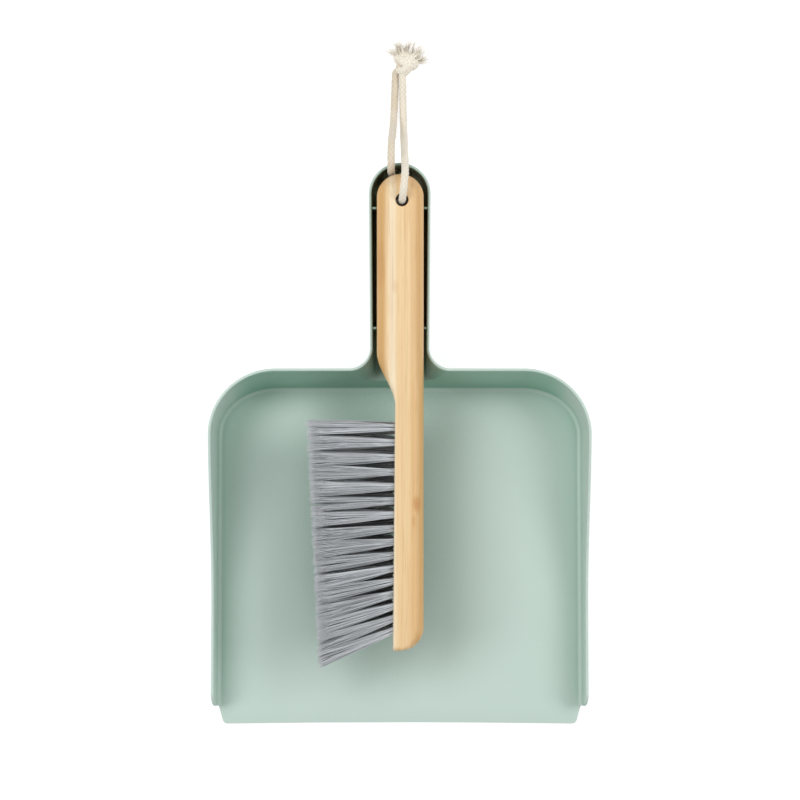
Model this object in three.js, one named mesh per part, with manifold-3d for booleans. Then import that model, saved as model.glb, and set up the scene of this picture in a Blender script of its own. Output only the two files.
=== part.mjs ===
// Dust pan and brush set. A moulded pan has a hollow handle, in which a bamboo hand brush lies on two ribs.
// A cotton cord runs through the end of the brush, over the end of the pan's handle, and is knotted.
// Millimetres. +X is to the right, +Y towards the end of the handle, +Z up. The pan stands on Z = 0.
import * as THREE from 'three';
import { mergeVertices } from 'three/addons/utils/BufferGeometryUtils.js';
import Module from 'manifold-3d';

// Pan: tray, with its sizes over the outside and at the rim.
const PAN_LENGTH = 332.4; // from the lip to the end of the handle
const TRAY_LENGTH = 212.6; // from the lip to the back rim
const TRAY_WIDTH = 224.4;
const FRONT_FLARE = 0.9; // the tray is this much wider on each side at its front
const BACK_HOLLOW = 0.9; // how far the back rim dips towards the tray at the handle
const RIM_HEIGHT = 45;
const SIDE_HEIGHT = 22.5; // side walls near the front
const WALL = 1.7;
const FLOOR = 2.4;
const SIDE_LEAN = 3; // degrees from upright
const BACK_LEAN = 12.9;
const CORNER_RADIUS = 39.5;
const INNER_FOOT_RADIUS = 2.5; // where floor and walls meet
const OUTER_FOOT_RADIUS = 3;
const LIP_LENGTH = 11; // the floor runs past the side walls
const LIP_INSET = 0.7; // each end of the lip starts this far inside the wall's inner foot
const LIP_SLANT = 2.8;
const LIP_EDGE = 1;
const LIP_BOW = 0.8;
const LIP_CORNER = 2.6;
const NOSE_LENGTH = 9; // the side walls round down to the floor over this length
const SWOOP_LENGTH = 125; // the side walls rise to the rim's height over this length
const SWOOP_PULL = 0.4; // how long the curve stays level at each end, as a share of its length

// Pan: handle, a channel that is open at the top.
const HANDLE_WIDTH = 34.5;
const HANDLE_END_WIDTH = 36;
const HANDLE_HEIGHT = 25;
const HANDLE_LEAN = 1.2;
const HANDLE_FOOT_RADIUS = 5;
const FLARE_RADIUS = 13; // where the handle runs into the back wall
const RIB_THICKNESS = 1.5;
const RIB_DROP = 0.8; // below the rim
const END_RIB_FROM_END = 26.4;
const TRAY_RIB_FROM_RIM = 23.4;

// Brush: a bamboo block with a grip and a lower head.
const BRUSH_THICKNESS = 22;
const BRUSH_AXIS_ABOVE_RIM = 3;
const BRUSH_OFFSET = 0.3; // sideways in the handle
const END_GAP = 5.2; // between the brush and the end of the channel
const GRIP_WIDTH = 27.2;
const GRIP_ROUND = 9.5;
const HEAD_WIDTH_AT_HEEL = 16.6;
const HEAD_WIDTH_AT_TOE = 17.8;
const HEAD_ROUND = 7;
const FACE_ROUND = 1.2; // along the edges of the face that holds the tufts
const TOE_CORNER = 13.5;
const TOE_ROUND = 3;
const SHOULDER_PAST_RIM = 8.9; // the grip ends this far behind the tray's back rim
const SHOULDER_LENGTH = 31;
const HEAD_LENGTH = 141.8; // from the shoulder to the toe
const CORD_HOLE_DIAMETER = 6.8;
const CORD_HOLE_FROM_END = 15.8;
const CORD_HOLE_OFFSET = 1; // sideways from the middle of the grip

// Tufts: rows of bristle bundles, each set in a blind hole of its own.
const TUFTS_IN_ROW = 16;
const ROW_NAMES = ['low', 'middle', 'top'];
const ROW_PITCH = 6.4;
const ROW_PITCH_AT_TIPS = 7.4;
const HEEL_TUFT_FROM_SHOULDER = 12.5;
const HEEL_PITCH = 8.75;
const TOE_PITCH = 6.95;
const TIP_PITCH = 9.05;
const TIP_LEAD = 0.6; // how far the first tip stands back towards the handle from its hole
const BRISTLE_LENGTH_AT_HEEL = 50.8;
const BRISTLE_LENGTH_AT_TOE = 43.2; // square to the face, like the one at the heel
const HOLE_DEPTH = 11;
const ROOT_RADIUS = 2.1;
const TUFT_GAP = 0.6; // between neighbouring tips
const WAIST_SHARE = 0.55; // where a tuft is measured between its root and its tip
const WAIST_WIDTH = 6;
const WAIST_DEPTH = 5.2;

// Cord.
const CORD_DIAMETER = 4.4;
const KNOT_SIZE = new THREE.Vector3(14.6, 13, 10.6);
const TAIL_LENGTH = 8.5;
const TAIL_SPREAD = 9;
const TAIL_SPREAD_AT_MIDDLE = 7.6;
const TAIL_THICKNESS = 3.1; // at its end
const TAIL_DROP = 3;

// Clearances and resolution.
const FIT = 0.3; // between touching pieces
const PAST = 5; // how far a cutting body runs past what it cuts
const SAME_POINT = 1e-4; // vertices closer than this are one
const TUFT_SIDES = 8;
const CORD_SIDES = 8;
const CORD_STEPS = 40;
const CORNER_STEPS = 10;
const END_STEPS = 20;
const ROUND_STEPS = 4;
const NOSE_START = 0.2; // of a step
const SECTION_STEPS = 5;

const MATERIALS = {
  plastic: { color: 0xa9bfb5, roughness: 0.5, metalness: 0 },
  bamboo: { color: 0xe2bf8c, roughness: 0.55, metalness: 0 },
  bristle: { color: 0xa9abb3, roughness: 0.6, metalness: 0 },
  cotton: { color: 0xe8ddca, roughness: 0.9, metalness: 0 },
};

// Places that several pieces share.
const LIP_Y = -PAN_LENGTH / 2;
const HANDLE_END_Y = PAN_LENGTH / 2;
const BACK_RIM_Y = LIP_Y + TRAY_LENGTH;
const WALL_FRONT_Y = LIP_Y + LIP_LENGTH;
const CORNER_X = TRAY_WIDTH / 2 - CORNER_RADIUS;
const CORNER_Y = BACK_RIM_Y - CORNER_RADIUS;
const CHANNEL_END_Y = HANDLE_END_Y - WALL;
const HANDLE_BOTTOM = RIM_HEIGHT - HANDLE_HEIGHT;
const CHANNEL_FLOOR = HANDLE_BOTTOM + WALL;
const BRUSH_Z = RIM_HEIGHT + BRUSH_AXIS_ABOVE_RIM;
const BRUSH_END_Y = CHANNEL_END_Y - END_GAP;
const SHOULDER_Y = BACK_RIM_Y + SHOULDER_PAST_RIM;
const HEEL_Y = SHOULDER_Y - SHOULDER_LENGTH;
const TOE_Y = HEEL_Y - HEAD_LENGTH;
const GRIP_LEFT = BRUSH_OFFSET - GRIP_WIDTH / 2;
const BRUSH_RIGHT = BRUSH_OFFSET + GRIP_WIDTH / 2;
const CORD_HOLE = new THREE.Vector2(BRUSH_OFFSET + CORD_HOLE_OFFSET, BRUSH_END_Y - CORD_HOLE_FROM_END);

const wasm = await Module();
wasm.setup();

const radians = THREE.MathUtils.degToRad;
const mix = THREE.MathUtils.lerp;

// ---- Solids ----

function signedVolume(geometry) {
  const position = geometry.getAttribute('position');
  const [a, b, c] = [new THREE.Vector3(), new THREE.Vector3(), new THREE.Vector3()];
  let volume = 0;
  for (let i = 0; i < geometry.index.count; i += 3) {
    a.fromBufferAttribute(position, geometry.index.getX(i));
    b.fromBufferAttribute(position, geometry.index.getX(i + 1));
    c.fromBufferAttribute(position, geometry.index.getX(i + 2));
    volume += a.dot(b.cross(c)) / 6;
  }
  return volume;
}

// Leaves only positions, shared by the faces that meet there, and turns the faces outwards.
function closed(geometry) {
  const bare = geometry.clone();
  bare.deleteAttribute('normal');
  bare.deleteAttribute('uv');
  const merged = mergeVertices(bare, SAME_POINT);
  if (signedVolume(merged) < 0) {
    merged.index.array.reverse();
  }
  return merged;
}

function toSolid(geometry) {
  const merged = closed(geometry);
  const vertProperties = new Float32Array(merged.getAttribute('position').array);
  const triVerts = new Uint32Array(merged.index.array);
  return new wasm.Manifold(new wasm.Mesh({ numProp: 3, vertProperties, triVerts }));
}

function toGeometry(solid) {
  const mesh = solid.getMesh();
  const geometry = new THREE.BufferGeometry();
  geometry.setAttribute('position', new THREE.BufferAttribute(mesh.vertProperties, mesh.numProp));
  geometry.setIndex(new THREE.BufferAttribute(mesh.triVerts, 1));
  return geometry;
}

// A body through rings of equally many points; each ring is a list of Vector2 and a function into space.
function loft(rings) {
  const count = rings[0].outline.length;
  const points = rings.flatMap(({ outline, place }) => outline.map(place));
  const faces = [];
  for (let ring = 0; ring < rings.length - 1; ring += 1) {
    for (let i = 0; i < count; i += 1) {
      const a = ring * count + i;
      const b = ring * count + ((i + 1) % count);
      faces.push(a, b, a + count, b, b + count, a + count);
    }
  }
  const last = (rings.length - 1) * count;
  const lid = (outline) => THREE.ShapeUtils.triangulateShape(outline, []);
  lid(rings[0].outline).forEach(([a, b, c]) => faces.push(c, b, a));
  lid(rings.at(-1).outline).forEach(([a, b, c]) => faces.push(last + a, last + b, last + c));
  const geometry = new THREE.BufferGeometry().setFromPoints(points);
  geometry.setIndex(faces);
  return closed(geometry);
}

function extrude(shape, depth) {
  return new THREE.ExtrudeGeometry(shape, { depth, bevelEnabled: false, curveSegments: CORNER_STEPS });
}

// Extrudes a side view, drawn as (Y, Z), across the whole width of the tray.
function acrossTray(shape) {
  const width = TRAY_WIDTH + 2 * FRONT_FLARE + 2 * PAST;
  const geometry = extrude(shape, width);
  const axes = new THREE.Matrix4().makeBasis(
    new THREE.Vector3(0, 1, 0),
    new THREE.Vector3(0, 0, 1),
    new THREE.Vector3(1, 0, 0),
  );
  geometry.applyMatrix4(axes);
  geometry.translate(-width / 2, 0, 0);
  return geometry;
}

// ---- Pan ----

// Levels of a drafted body with a rounded foot: the height of each, and how far it is drawn in.
function footLevels(bottom, radius, inset) {
  const levels = [];
  for (let i = 0; i <= ROUND_STEPS; i += 1) {
    const angle = (i / ROUND_STEPS) * (Math.PI / 2);
    levels.push({
      z: bottom + radius * (1 - Math.cos(angle)),
      inset: inset + radius * (1 - Math.sin(angle)),
    });
  }
  levels.push({ z: RIM_HEIGHT + PAST, inset });
  return levels;
}

function leanIn(z, degrees) {
  return (RIM_HEIGHT - z) * Math.tan(radians(degrees));
}

function trayOutline(z, inset, frontY) {
  const side = TRAY_WIDTH / 2 - leanIn(z, SIDE_LEAN) - inset;
  const back = BACK_RIM_Y - leanIn(z, BACK_LEAN) - inset;
  const front = side + (FRONT_FLARE * (CORNER_Y - frontY)) / (CORNER_Y - LIP_Y);
  const shape = new THREE.Shape();
  shape.moveTo(-front, frontY);
  shape.lineTo(front, frontY);
  shape.absellipse(CORNER_X, CORNER_Y, side - CORNER_X, back - CORNER_Y, 0, Math.PI / 2);
  shape.absellipse(-CORNER_X, CORNER_Y, side - CORNER_X, back - CORNER_Y, Math.PI / 2, Math.PI);
  return shape.getPoints(CORNER_STEPS);
}

function trayBody(bottom, footRadius, inset, frontY) {
  const rings = footLevels(bottom, footRadius, inset).map((level) => ({
    outline: trayOutline(level.z, level.inset, frontY),
    place: (p) => new THREE.Vector3(p.x, p.y, level.z),
  }));
  return toSolid(loft(rings));
}

function handleOutline(z, inset) {
  const half = HANDLE_WIDTH / 2 - leanIn(z, HANDLE_LEAN) - inset;
  const endHalf = HANDLE_END_WIDTH / 2 - leanIn(z, HANDLE_LEAN) - inset;
  const endY = HANDLE_END_Y - HANDLE_END_WIDTH / 2;
  const back = BACK_RIM_Y - BACK_HOLLOW - leanIn(z, BACK_LEAN) - inset;
  const flare = FLARE_RADIUS + leanIn(z, HANDLE_LEAN) + inset;
  const root = back - FLARE_RADIUS;
  const shape = new THREE.Shape();
  shape.moveTo(-half - flare, root);
  shape.lineTo(half + flare, root);
  shape.absarc(half + flare, back + flare, flare, -Math.PI / 2, -Math.PI, true);
  shape.absellipse(0, endY, endHalf, endHalf, 0, Math.PI);
  shape.absarc(-half - flare, back + flare, flare, 0, -Math.PI / 2, true);
  return shape.getPoints(END_STEPS);
}

function handleBody(bottom, footRadius, inset) {
  const rings = footLevels(bottom, footRadius, inset).map((level) => ({
    outline: handleOutline(level.z, level.inset),
    place: (p) => new THREE.Vector3(p.x, p.y, level.z),
  }));
  return toSolid(loft(rings));
}

// Everything above the line of the rim, from the side.
function aboveRim() {
  // The swoop ends halfway round the back corners.
  const swoopY = CORNER_Y + CORNER_RADIUS / 2 - SWOOP_LENGTH;
  const noseY = WALL_FRONT_Y + NOSE_LENGTH;
  const shape = new THREE.Shape();
  shape.moveTo(LIP_Y - PAST, FLOOR);
  shape.lineTo(WALL_FRONT_Y, FLOOR);
  shape.absellipse(noseY, FLOOR, NOSE_LENGTH, SIDE_HEIGHT - FLOOR, Math.PI, Math.PI / 2, true);
  shape.lineTo(swoopY, SIDE_HEIGHT);
  shape.bezierCurveTo(
    swoopY + SWOOP_LENGTH * SWOOP_PULL,
    SIDE_HEIGHT,
    swoopY + SWOOP_LENGTH * (1 - SWOOP_PULL),
    RIM_HEIGHT,
    swoopY + SWOOP_LENGTH,
    RIM_HEIGHT,
  );
  shape.lineTo(HANDLE_END_Y + PAST, RIM_HEIGHT);
  shape.lineTo(HANDLE_END_Y + PAST, RIM_HEIGHT + 2 * PAST);
  shape.lineTo(LIP_Y - PAST, RIM_HEIGHT + 2 * PAST);
  return toSolid(acrossTray(shape));
}

// The floor in front of the side walls, thinner towards its edge.
function lip() {
  const foot = TRAY_WIDTH / 2 + FRONT_FLARE - leanIn(0, SIDE_LEAN) - WALL;
  const rootX = foot - LIP_INSET;
  const endX = rootX - LIP_SLANT;
  const cornerX = endX + (LIP_SLANT * LIP_CORNER) / LIP_LENGTH;
  // A quadratic curve reaches halfway to its middle point.
  const bowY = LIP_Y + 2 * LIP_BOW;
  const plan = new THREE.Shape();
  plan.moveTo(rootX, WALL_FRONT_Y + PAST);
  plan.lineTo(-rootX, WALL_FRONT_Y + PAST);
  plan.lineTo(-rootX, WALL_FRONT_Y);
  plan.lineTo(-cornerX, LIP_Y + LIP_CORNER);
  plan.quadraticCurveTo(-endX, LIP_Y, -endX + LIP_CORNER, LIP_Y);
  plan.quadraticCurveTo(0, bowY, endX - LIP_CORNER, LIP_Y);
  plan.quadraticCurveTo(endX, LIP_Y, cornerX, LIP_Y + LIP_CORNER);
  plan.lineTo(rootX, WALL_FRONT_Y);
  const side = new THREE.Shape();
  side.moveTo(LIP_Y - PAST, 0);
  side.lineTo(WALL_FRONT_Y + 2 * PAST, 0);
  side.lineTo(WALL_FRONT_Y + 2 * PAST, FLOOR);
  side.lineTo(WALL_FRONT_Y, FLOOR);
  side.lineTo(LIP_Y, LIP_EDGE);
  side.lineTo(LIP_Y - PAST, LIP_EDGE);
  return toSolid(extrude(plan, FLOOR)).intersect(toSolid(acrossTray(side)));
}

function rib(y) {
  const plate = new THREE.BoxGeometry(HANDLE_END_WIDTH, RIB_THICKNESS, HANDLE_HEIGHT);
  plate.translate(0, y, RIM_HEIGHT - RIB_DROP - HANDLE_HEIGHT / 2);
  return toSolid(plate);
}

function dustpan() {
  const handle = handleBody(HANDLE_BOTTOM, HANDLE_FOOT_RADIUS, 0);
  const channel = handleBody(CHANNEL_FLOOR, HANDLE_FOOT_RADIUS - WALL, WALL);
  const outside = trayBody(0, OUTER_FOOT_RADIUS, 0, WALL_FRONT_Y).add(handle);
  const inside = trayBody(FLOOR, INNER_FOOT_RADIUS, WALL, LIP_Y - PAST).add(channel);
  const ribs = rib(HANDLE_END_Y - END_RIB_FROM_END).add(rib(BACK_RIM_Y + TRAY_RIB_FROM_RIM));
  return outside
    .subtract(inside)
    .add(ribs.intersect(handle).subtract(brushBody(FIT)))
    .subtract(aboveRim())
    .add(lip());
}

// ---- Brush ----

// How far a rounded end draws a side in, at a distance from the end.
function drawnIn(radius, distance) {
  if (distance >= radius) {
    return 0;
  }
  return radius - Math.sqrt(radius * radius - (radius - distance) ** 2);
}

function faceX(y) {
  const width = mix(HEAD_WIDTH_AT_HEEL, HEAD_WIDTH_AT_TOE, (HEEL_Y - y) / (HEEL_Y - TOE_Y));
  return BRUSH_RIGHT - width;
}

// The sides, half thickness and edge radii of the block at y.
function blockAt(y) {
  const share = THREE.MathUtils.smoothstep(y, HEEL_Y, SHOULDER_Y);
  const fromEnd = BRUSH_END_Y - y;
  const fromToe = y - TOE_Y;
  const endDraw = drawnIn(GRIP_WIDTH / 2, fromEnd);
  return {
    left: mix(faceX(y), GRIP_LEFT, share) + endDraw,
    right: BRUSH_RIGHT - endDraw - drawnIn(TOE_CORNER, fromToe),
    half: BRUSH_THICKNESS / 2 - drawnIn(BRUSH_THICKNESS / 2, fromEnd) - drawnIn(TOE_ROUND, fromToe),
    leftRound: mix(FACE_ROUND, GRIP_ROUND, share),
    rightRound: mix(HEAD_ROUND, GRIP_ROUND, share),
  };
}

function blockOutline(y, extra) {
  const block = blockAt(y);
  const left = block.left - extra;
  const right = block.right + extra;
  const half = block.half + extra;
  const most = Math.min((right - left) / 2, half);
  const corners = [
    { x: right, side: -1, radius: Math.min(block.rightRound + extra, most), from: 0, up: 1 },
    { x: left, side: 1, radius: Math.min(block.leftRound + extra, most), from: 1, up: 1 },
    { x: left, side: 1, radius: Math.min(block.leftRound + extra, most), from: 2, up: -1 },
    { x: right, side: -1, radius: Math.min(block.rightRound + extra, most), from: 3, up: -1 },
  ];
  return corners.flatMap(({ x, side, radius, from, up }) => {
    const centre = new THREE.Vector2(x + side * radius, up * (half - radius));
    const points = [];
    for (let i = 0; i <= SECTION_STEPS; i += 1) {
      const angle = (from + i / SECTION_STEPS) * (Math.PI / 2);
      points.push(new THREE.Vector2(Math.cos(angle), Math.sin(angle)).multiplyScalar(radius).add(centre));
    }
    return points;
  });
}

// Stations along the block: close together where it is rounded, further apart where it is straight.
// The first one stands a part of a step in, so that the nose ends in a small flat and not in a point.
function blockStations() {
  const stations = [];
  const nose = GRIP_WIDTH / 2;
  const steps = 2 * ROUND_STEPS + NOSE_START;
  for (let i = NOSE_START; i <= steps; i += 1) {
    stations.push(BRUSH_END_Y - nose * (1 - Math.cos((i / steps) * (Math.PI / 2))));
  }
  for (let i = 0; i <= 2 * ROUND_STEPS; i += 1) {
    stations.push(SHOULDER_Y - (i / (2 * ROUND_STEPS)) * SHOULDER_LENGTH);
  }
  for (let i = 0; i <= ROUND_STEPS; i += 1) {
    stations.push(TOE_Y + TOE_CORNER * (1 - Math.sin((i / ROUND_STEPS) * (Math.PI / 2))));
  }
  return stations;
}

function brushBody(extra) {
  const stations = blockStations();
  const rings = stations.map((y, i) => {
    const grown = i === 0 ? extra : i === stations.length - 1 ? -extra : 0;
    return {
      outline: blockOutline(y, extra),
      place: (p) => new THREE.Vector3(p.x, y + grown, BRUSH_Z + p.y),
    };
  });
  return toSolid(loft(rings));
}

// Where a tuft leaves its hole and where it ends, in the plane of its row.
function tuftLine(index) {
  const steps = TUFTS_IN_ROW - 1;
  const along = index * HEEL_PITCH - ((HEEL_PITCH - TOE_PITCH) * index * (index - 1)) / (2 * (steps - 1));
  const rootY = HEEL_Y - HEEL_TUFT_FROM_SHOULDER - along;
  const tipY = HEEL_Y - HEEL_TUFT_FROM_SHOULDER + TIP_LEAD - index * TIP_PITCH;
  const length = mix(BRISTLE_LENGTH_AT_HEEL, BRISTLE_LENGTH_AT_TOE, index / steps);
  const root = new THREE.Vector2(faceX(rootY), rootY);
  const tip = new THREE.Vector2(faceX(tipY) - length, tipY);
  return { root, tip };
}

// The frame of a bundle of fibres: its origin, its axis, and the two directions across it.
function bundleFrame(origin, end) {
  const axis = end.clone().sub(origin);
  const length = axis.length();
  axis.normalize();
  const across = new THREE.Vector3(0, 0, 1).cross(axis).normalize();
  const up = axis.clone().cross(across);
  return { origin, axis, across, up, length };
}

function tuftFrame(row, index) {
  const { root, tip } = tuftLine(index);
  const level = row - (ROW_NAMES.length - 1) / 2;
  return bundleFrame(
    new THREE.Vector3(root.x, root.y, BRUSH_Z + level * ROW_PITCH),
    new THREE.Vector3(tip.x, tip.y, BRUSH_Z + level * ROW_PITCH_AT_TIPS),
  );
}

function ellipse(halfWidth, halfDepth) {
  return Array.from({ length: TUFT_SIDES }, (_, i) => {
    const angle = ((i + 0.5) / TUFT_SIDES) * 2 * Math.PI;
    return new THREE.Vector2(halfWidth * Math.cos(angle), halfDepth * Math.sin(angle));
  });
}

// A ring across a bundle's axis; a slant moves its points along the axis, so that tips end in one line.
function bundleRing({ origin, axis, across, up }, distance, outline, slant = 0) {
  return {
    outline,
    place: (p) => origin
      .clone()
      .addScaledVector(axis, distance + slant * p.x)
      .addScaledVector(across, p.x)
      .addScaledVector(up, p.y),
  };
}

function tuft(row, index) {
  const frame = tuftFrame(row, index);
  const tipLine = tuftLine(TUFTS_IN_ROW - 1).tip.sub(tuftLine(0).tip);
  const lean = Math.atan2(tipLine.x, -tipLine.y);
  const turn = Math.atan2(-frame.axis.y, -frame.axis.x) - lean;
  const root = ellipse(ROOT_RADIUS, ROOT_RADIUS);
  const tipWidth = TIP_PITCH * Math.cos(turn) - TUFT_GAP;
  const tipDepth = ROW_PITCH_AT_TIPS - TUFT_GAP;
  return loft([
    bundleRing(frame, FIT - HOLE_DEPTH, root),
    bundleRing(frame, 0, root),
    bundleRing(frame, frame.length * WAIST_SHARE, ellipse(WAIST_WIDTH / 2, WAIST_DEPTH / 2)),
    bundleRing(frame, frame.length, ellipse(tipWidth / 2, tipDepth / 2), Math.tan(turn)),
  ]);
}

function tuftHole(row, index) {
  const frame = tuftFrame(row, index);
  const mouth = ellipse(ROOT_RADIUS + FIT, ROOT_RADIUS + FIT);
  const ends = [-HOLE_DEPTH, ROOT_RADIUS + PAST];
  return toSolid(loft(ends.map((distance) => bundleRing(frame, distance, mouth))));
}

function cordHole() {
  const radius = CORD_HOLE_DIAMETER / 2;
  const drill = new THREE.CylinderGeometry(radius, radius, BRUSH_THICKNESS + 2 * PAST, END_STEPS);
  drill.rotateX(Math.PI / 2);
  drill.translate(CORD_HOLE.x, CORD_HOLE.y, BRUSH_Z);
  return toSolid(drill);
}

function eachTuft(make) {
  return ROW_NAMES.flatMap((name, row) => (
    Array.from({ length: TUFTS_IN_ROW }, (_, index) => make(row, index, name))
  ));
}

function brushHandle() {
  const holes = eachTuft(tuftHole).reduce((all, hole) => all.add(hole), cordHole());
  return brushBody(0).subtract(holes);
}

// ---- Cord ----

// Both strands start in the middle of the cord's hole. The front one leaves it upwards, and the rear one
// downwards, under the brush and up through the gap at its end. Both then hang over the handle's end.
const FRONT_STRAND = [
  [CORD_HOLE.x, CORD_HOLE.y - 0.4, BRUSH_Z + FIT / 2],
  [CORD_HOLE.x, CORD_HOLE.y - 0.4, 52],
  [CORD_HOLE.x, CORD_HOLE.y - 0.4, 55.5],
  [1.6, 144.3, 60],
  [2, 147.6, 63.2],
  [2.5, 152, 64.4],
  [2.9, 156.4, 63.2],
  [3.1, 159.5, 60.3],
  [3.1, 164, 53.4],
  [3, 168.4, 46.5],
  [2.8, 172.9, 38.8],
  [2.7, 176.6, 31],
  [2.6, 179.6, 23.4],
  [2.5, 182.7, 15.8],
  [2.4, 186.7, 9.2],
  [2.3, 191.8, 4.8],
  [2.1, 198.6, 2.8],
  [1.9, 206, 2.9],
  [1.8, 214, 4],
  [1.7, 222.4, 5.3],
];
const REAR_STRAND = [
  [CORD_HOLE.x, CORD_HOLE.y, BRUSH_Z - FIT / 2],
  [CORD_HOLE.x, CORD_HOLE.y, 43],
  [CORD_HOLE.x, CORD_HOLE.y, 38.5],
  [0.9, 144.7, 33.8],
  [-0.3, 147.9, 30.4],
  [-1.8, 152.3, 29.1],
  [-3.4, 156.7, 30.4],
  [-4.6, 159.9, 33.8],
  [-5, 161, 38.5],
  [-5, 161, 44],
  [-5, 162.2, 48.5],
  [-5, 165.5, 51.8],
  [-5, 170, 53],
  [-4.9, 174.5, 51.8],
  [-4.8, 177.8, 48.5],
  [-4.7, 180.4, 41.8],
  [-4.5, 182.6, 34.4],
  [-4.4, 184.6, 26.8],
  [-4.2, 186.9, 19.4],
  [-4, 190.1, 12.6],
  [-3.7, 194.9, 7.2],
  [-3.4, 201.2, 3.8],
  [-3.1, 208.6, 2.6],
  [-2.8, 216, 2.7],
  [-2.6, 223.2, 3.1],
];
const KNOT_CENTRE = new THREE.Vector3(3.4, 229.2, KNOT_SIZE.z / 2 + FIT);
const TAILS = [
  { name: 'cord_end_1', angle: 110 },
  { name: 'cord_end_2', angle: 35 },
];

function strand(points) {
  const path = new THREE.CatmullRomCurve3(points.map((p) => new THREE.Vector3(...p)), false, 'centripetal');
  const section = new THREE.Shape(Array.from({ length: CORD_SIDES }, (_, i) => {
    const angle = (i / CORD_SIDES) * 2 * Math.PI;
    return new THREE.Vector2(Math.cos(angle), Math.sin(angle)).multiplyScalar(CORD_DIAMETER / 2);
  }));
  return new THREE.ExtrudeGeometry(section, { steps: CORD_STEPS, bevelEnabled: false, extrudePath: path });
}

function knot() {
  const geometry = new THREE.SphereGeometry(0.5, 2 * CORD_SIDES, CORD_SIDES);
  geometry.scale(KNOT_SIZE.x, KNOT_SIZE.y, KNOT_SIZE.z);
  geometry.translate(KNOT_CENTRE.x, KNOT_CENTRE.y, KNOT_CENTRE.z);
  return geometry;
}

// A frayed end: it leaves the knot as thick as the cord and fans out flat, down to the ground.
function tail({ angle }) {
  const outwards = new THREE.Vector3(Math.cos(radians(angle)), Math.sin(radians(angle)), 0);
  const reach = 1 / Math.hypot((2 * outwards.x) / KNOT_SIZE.x, (2 * outwards.y) / KNOT_SIZE.y) + FIT;
  const frame = bundleFrame(
    KNOT_CENTRE.clone().addScaledVector(outwards, reach),
    KNOT_CENTRE.clone().addScaledVector(outwards, reach + TAIL_LENGTH).setZ(KNOT_CENTRE.z - TAIL_DROP),
  );
  const radius = CORD_DIAMETER / 2;
  return loft([
    bundleRing(frame, 0, ellipse(radius, radius)),
    bundleRing(frame, frame.length / 2, ellipse(TAIL_SPREAD_AT_MIDDLE / 2, radius)),
    bundleRing(frame, frame.length, ellipse(TAIL_SPREAD / 2, TAIL_THICKNESS / 2)),
  ]);
}

// ---- Assembly ----

function piece(name, geometry, material) {
  const mesh = new THREE.Mesh(closed(geometry), new THREE.MeshStandardMaterial(MATERIALS[material]));
  mesh.name = name;
  return mesh;
}

const pan = new THREE.Group();
pan.add(piece('dustpan', toGeometry(dustpan()), 'plastic'));

const brush = new THREE.Group();
brush.add(piece('brush_handle', toGeometry(brushHandle()), 'bamboo'));
brush.add(...eachTuft((row, index, name) => {
  const number = String(index + 1).padStart(2, '0');
  return piece(`tuft_${name}_${number}`, tuft(row, index), 'bristle');
}));

const cord = new THREE.Group();
cord.add(piece('cord_front', strand(FRONT_STRAND), 'cotton'));
cord.add(piece('cord_rear', strand(REAR_STRAND), 'cotton'));
cord.add(piece('cord_knot', knot(), 'cotton'));
TAILS.forEach((end) => cord.add(piece(end.name, tail(end), 'cotton')));
brush.add(cord);

const set = new THREE.Group();
set.add(pan, brush);

export default set;
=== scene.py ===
"""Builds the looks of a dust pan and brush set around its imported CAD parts.

A moulded pan has a hollow handle, in which a bamboo hand brush lies on two ribs. A cotton cord runs
through the end of the brush, over the end of the pan's handle, and is knotted. Metres throughout:
+X is to the right, +Y towards the end of the handle, +Z up, and the pan stands on Z = 0.
"""

import math
from contextlib import contextmanager

import bmesh
import bpy
import numpy as np
from bpy.props import FloatProperty, FloatVectorProperty, IntProperty, PointerProperty
from mathutils import Matrix, Vector


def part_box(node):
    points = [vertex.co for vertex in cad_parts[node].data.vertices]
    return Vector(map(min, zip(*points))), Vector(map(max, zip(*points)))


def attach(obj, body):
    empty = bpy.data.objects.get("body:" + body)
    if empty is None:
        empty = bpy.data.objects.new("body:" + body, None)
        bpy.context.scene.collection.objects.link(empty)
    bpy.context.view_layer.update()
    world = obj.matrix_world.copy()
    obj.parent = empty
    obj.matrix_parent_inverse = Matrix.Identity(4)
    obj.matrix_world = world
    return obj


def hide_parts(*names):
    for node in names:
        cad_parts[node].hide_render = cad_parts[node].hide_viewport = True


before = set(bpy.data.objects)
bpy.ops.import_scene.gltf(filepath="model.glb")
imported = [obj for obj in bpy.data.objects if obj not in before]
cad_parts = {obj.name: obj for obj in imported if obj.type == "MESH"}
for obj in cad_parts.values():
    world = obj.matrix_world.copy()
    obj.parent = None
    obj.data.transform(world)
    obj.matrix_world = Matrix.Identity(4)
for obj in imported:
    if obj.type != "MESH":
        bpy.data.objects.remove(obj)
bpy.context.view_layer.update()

bl_info = {
    "name": "Dust pan and brush set",
    "version": (1, 0, 0),
    "blender": (4, 5, 0),
    "location": "View3D > Sidebar > Dust pan",
    "description": "Makes a dust pan with a bamboo hand brush and its cotton cord, piece by piece",
    "category": "Add Mesh",
}

# ---- Sizes ----

PAN_LOW, PAN_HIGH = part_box("dustpan")
BRUSH_LOW, BRUSH_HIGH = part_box("brush_handle")
KNOT_LOW, KNOT_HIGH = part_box("cord_knot")
KNOT_MIDDLE = np.array((KNOT_LOW + KNOT_HIGH) / 2)
KNOT_HALF = np.array((KNOT_HIGH - KNOT_LOW) / 2)

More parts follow.
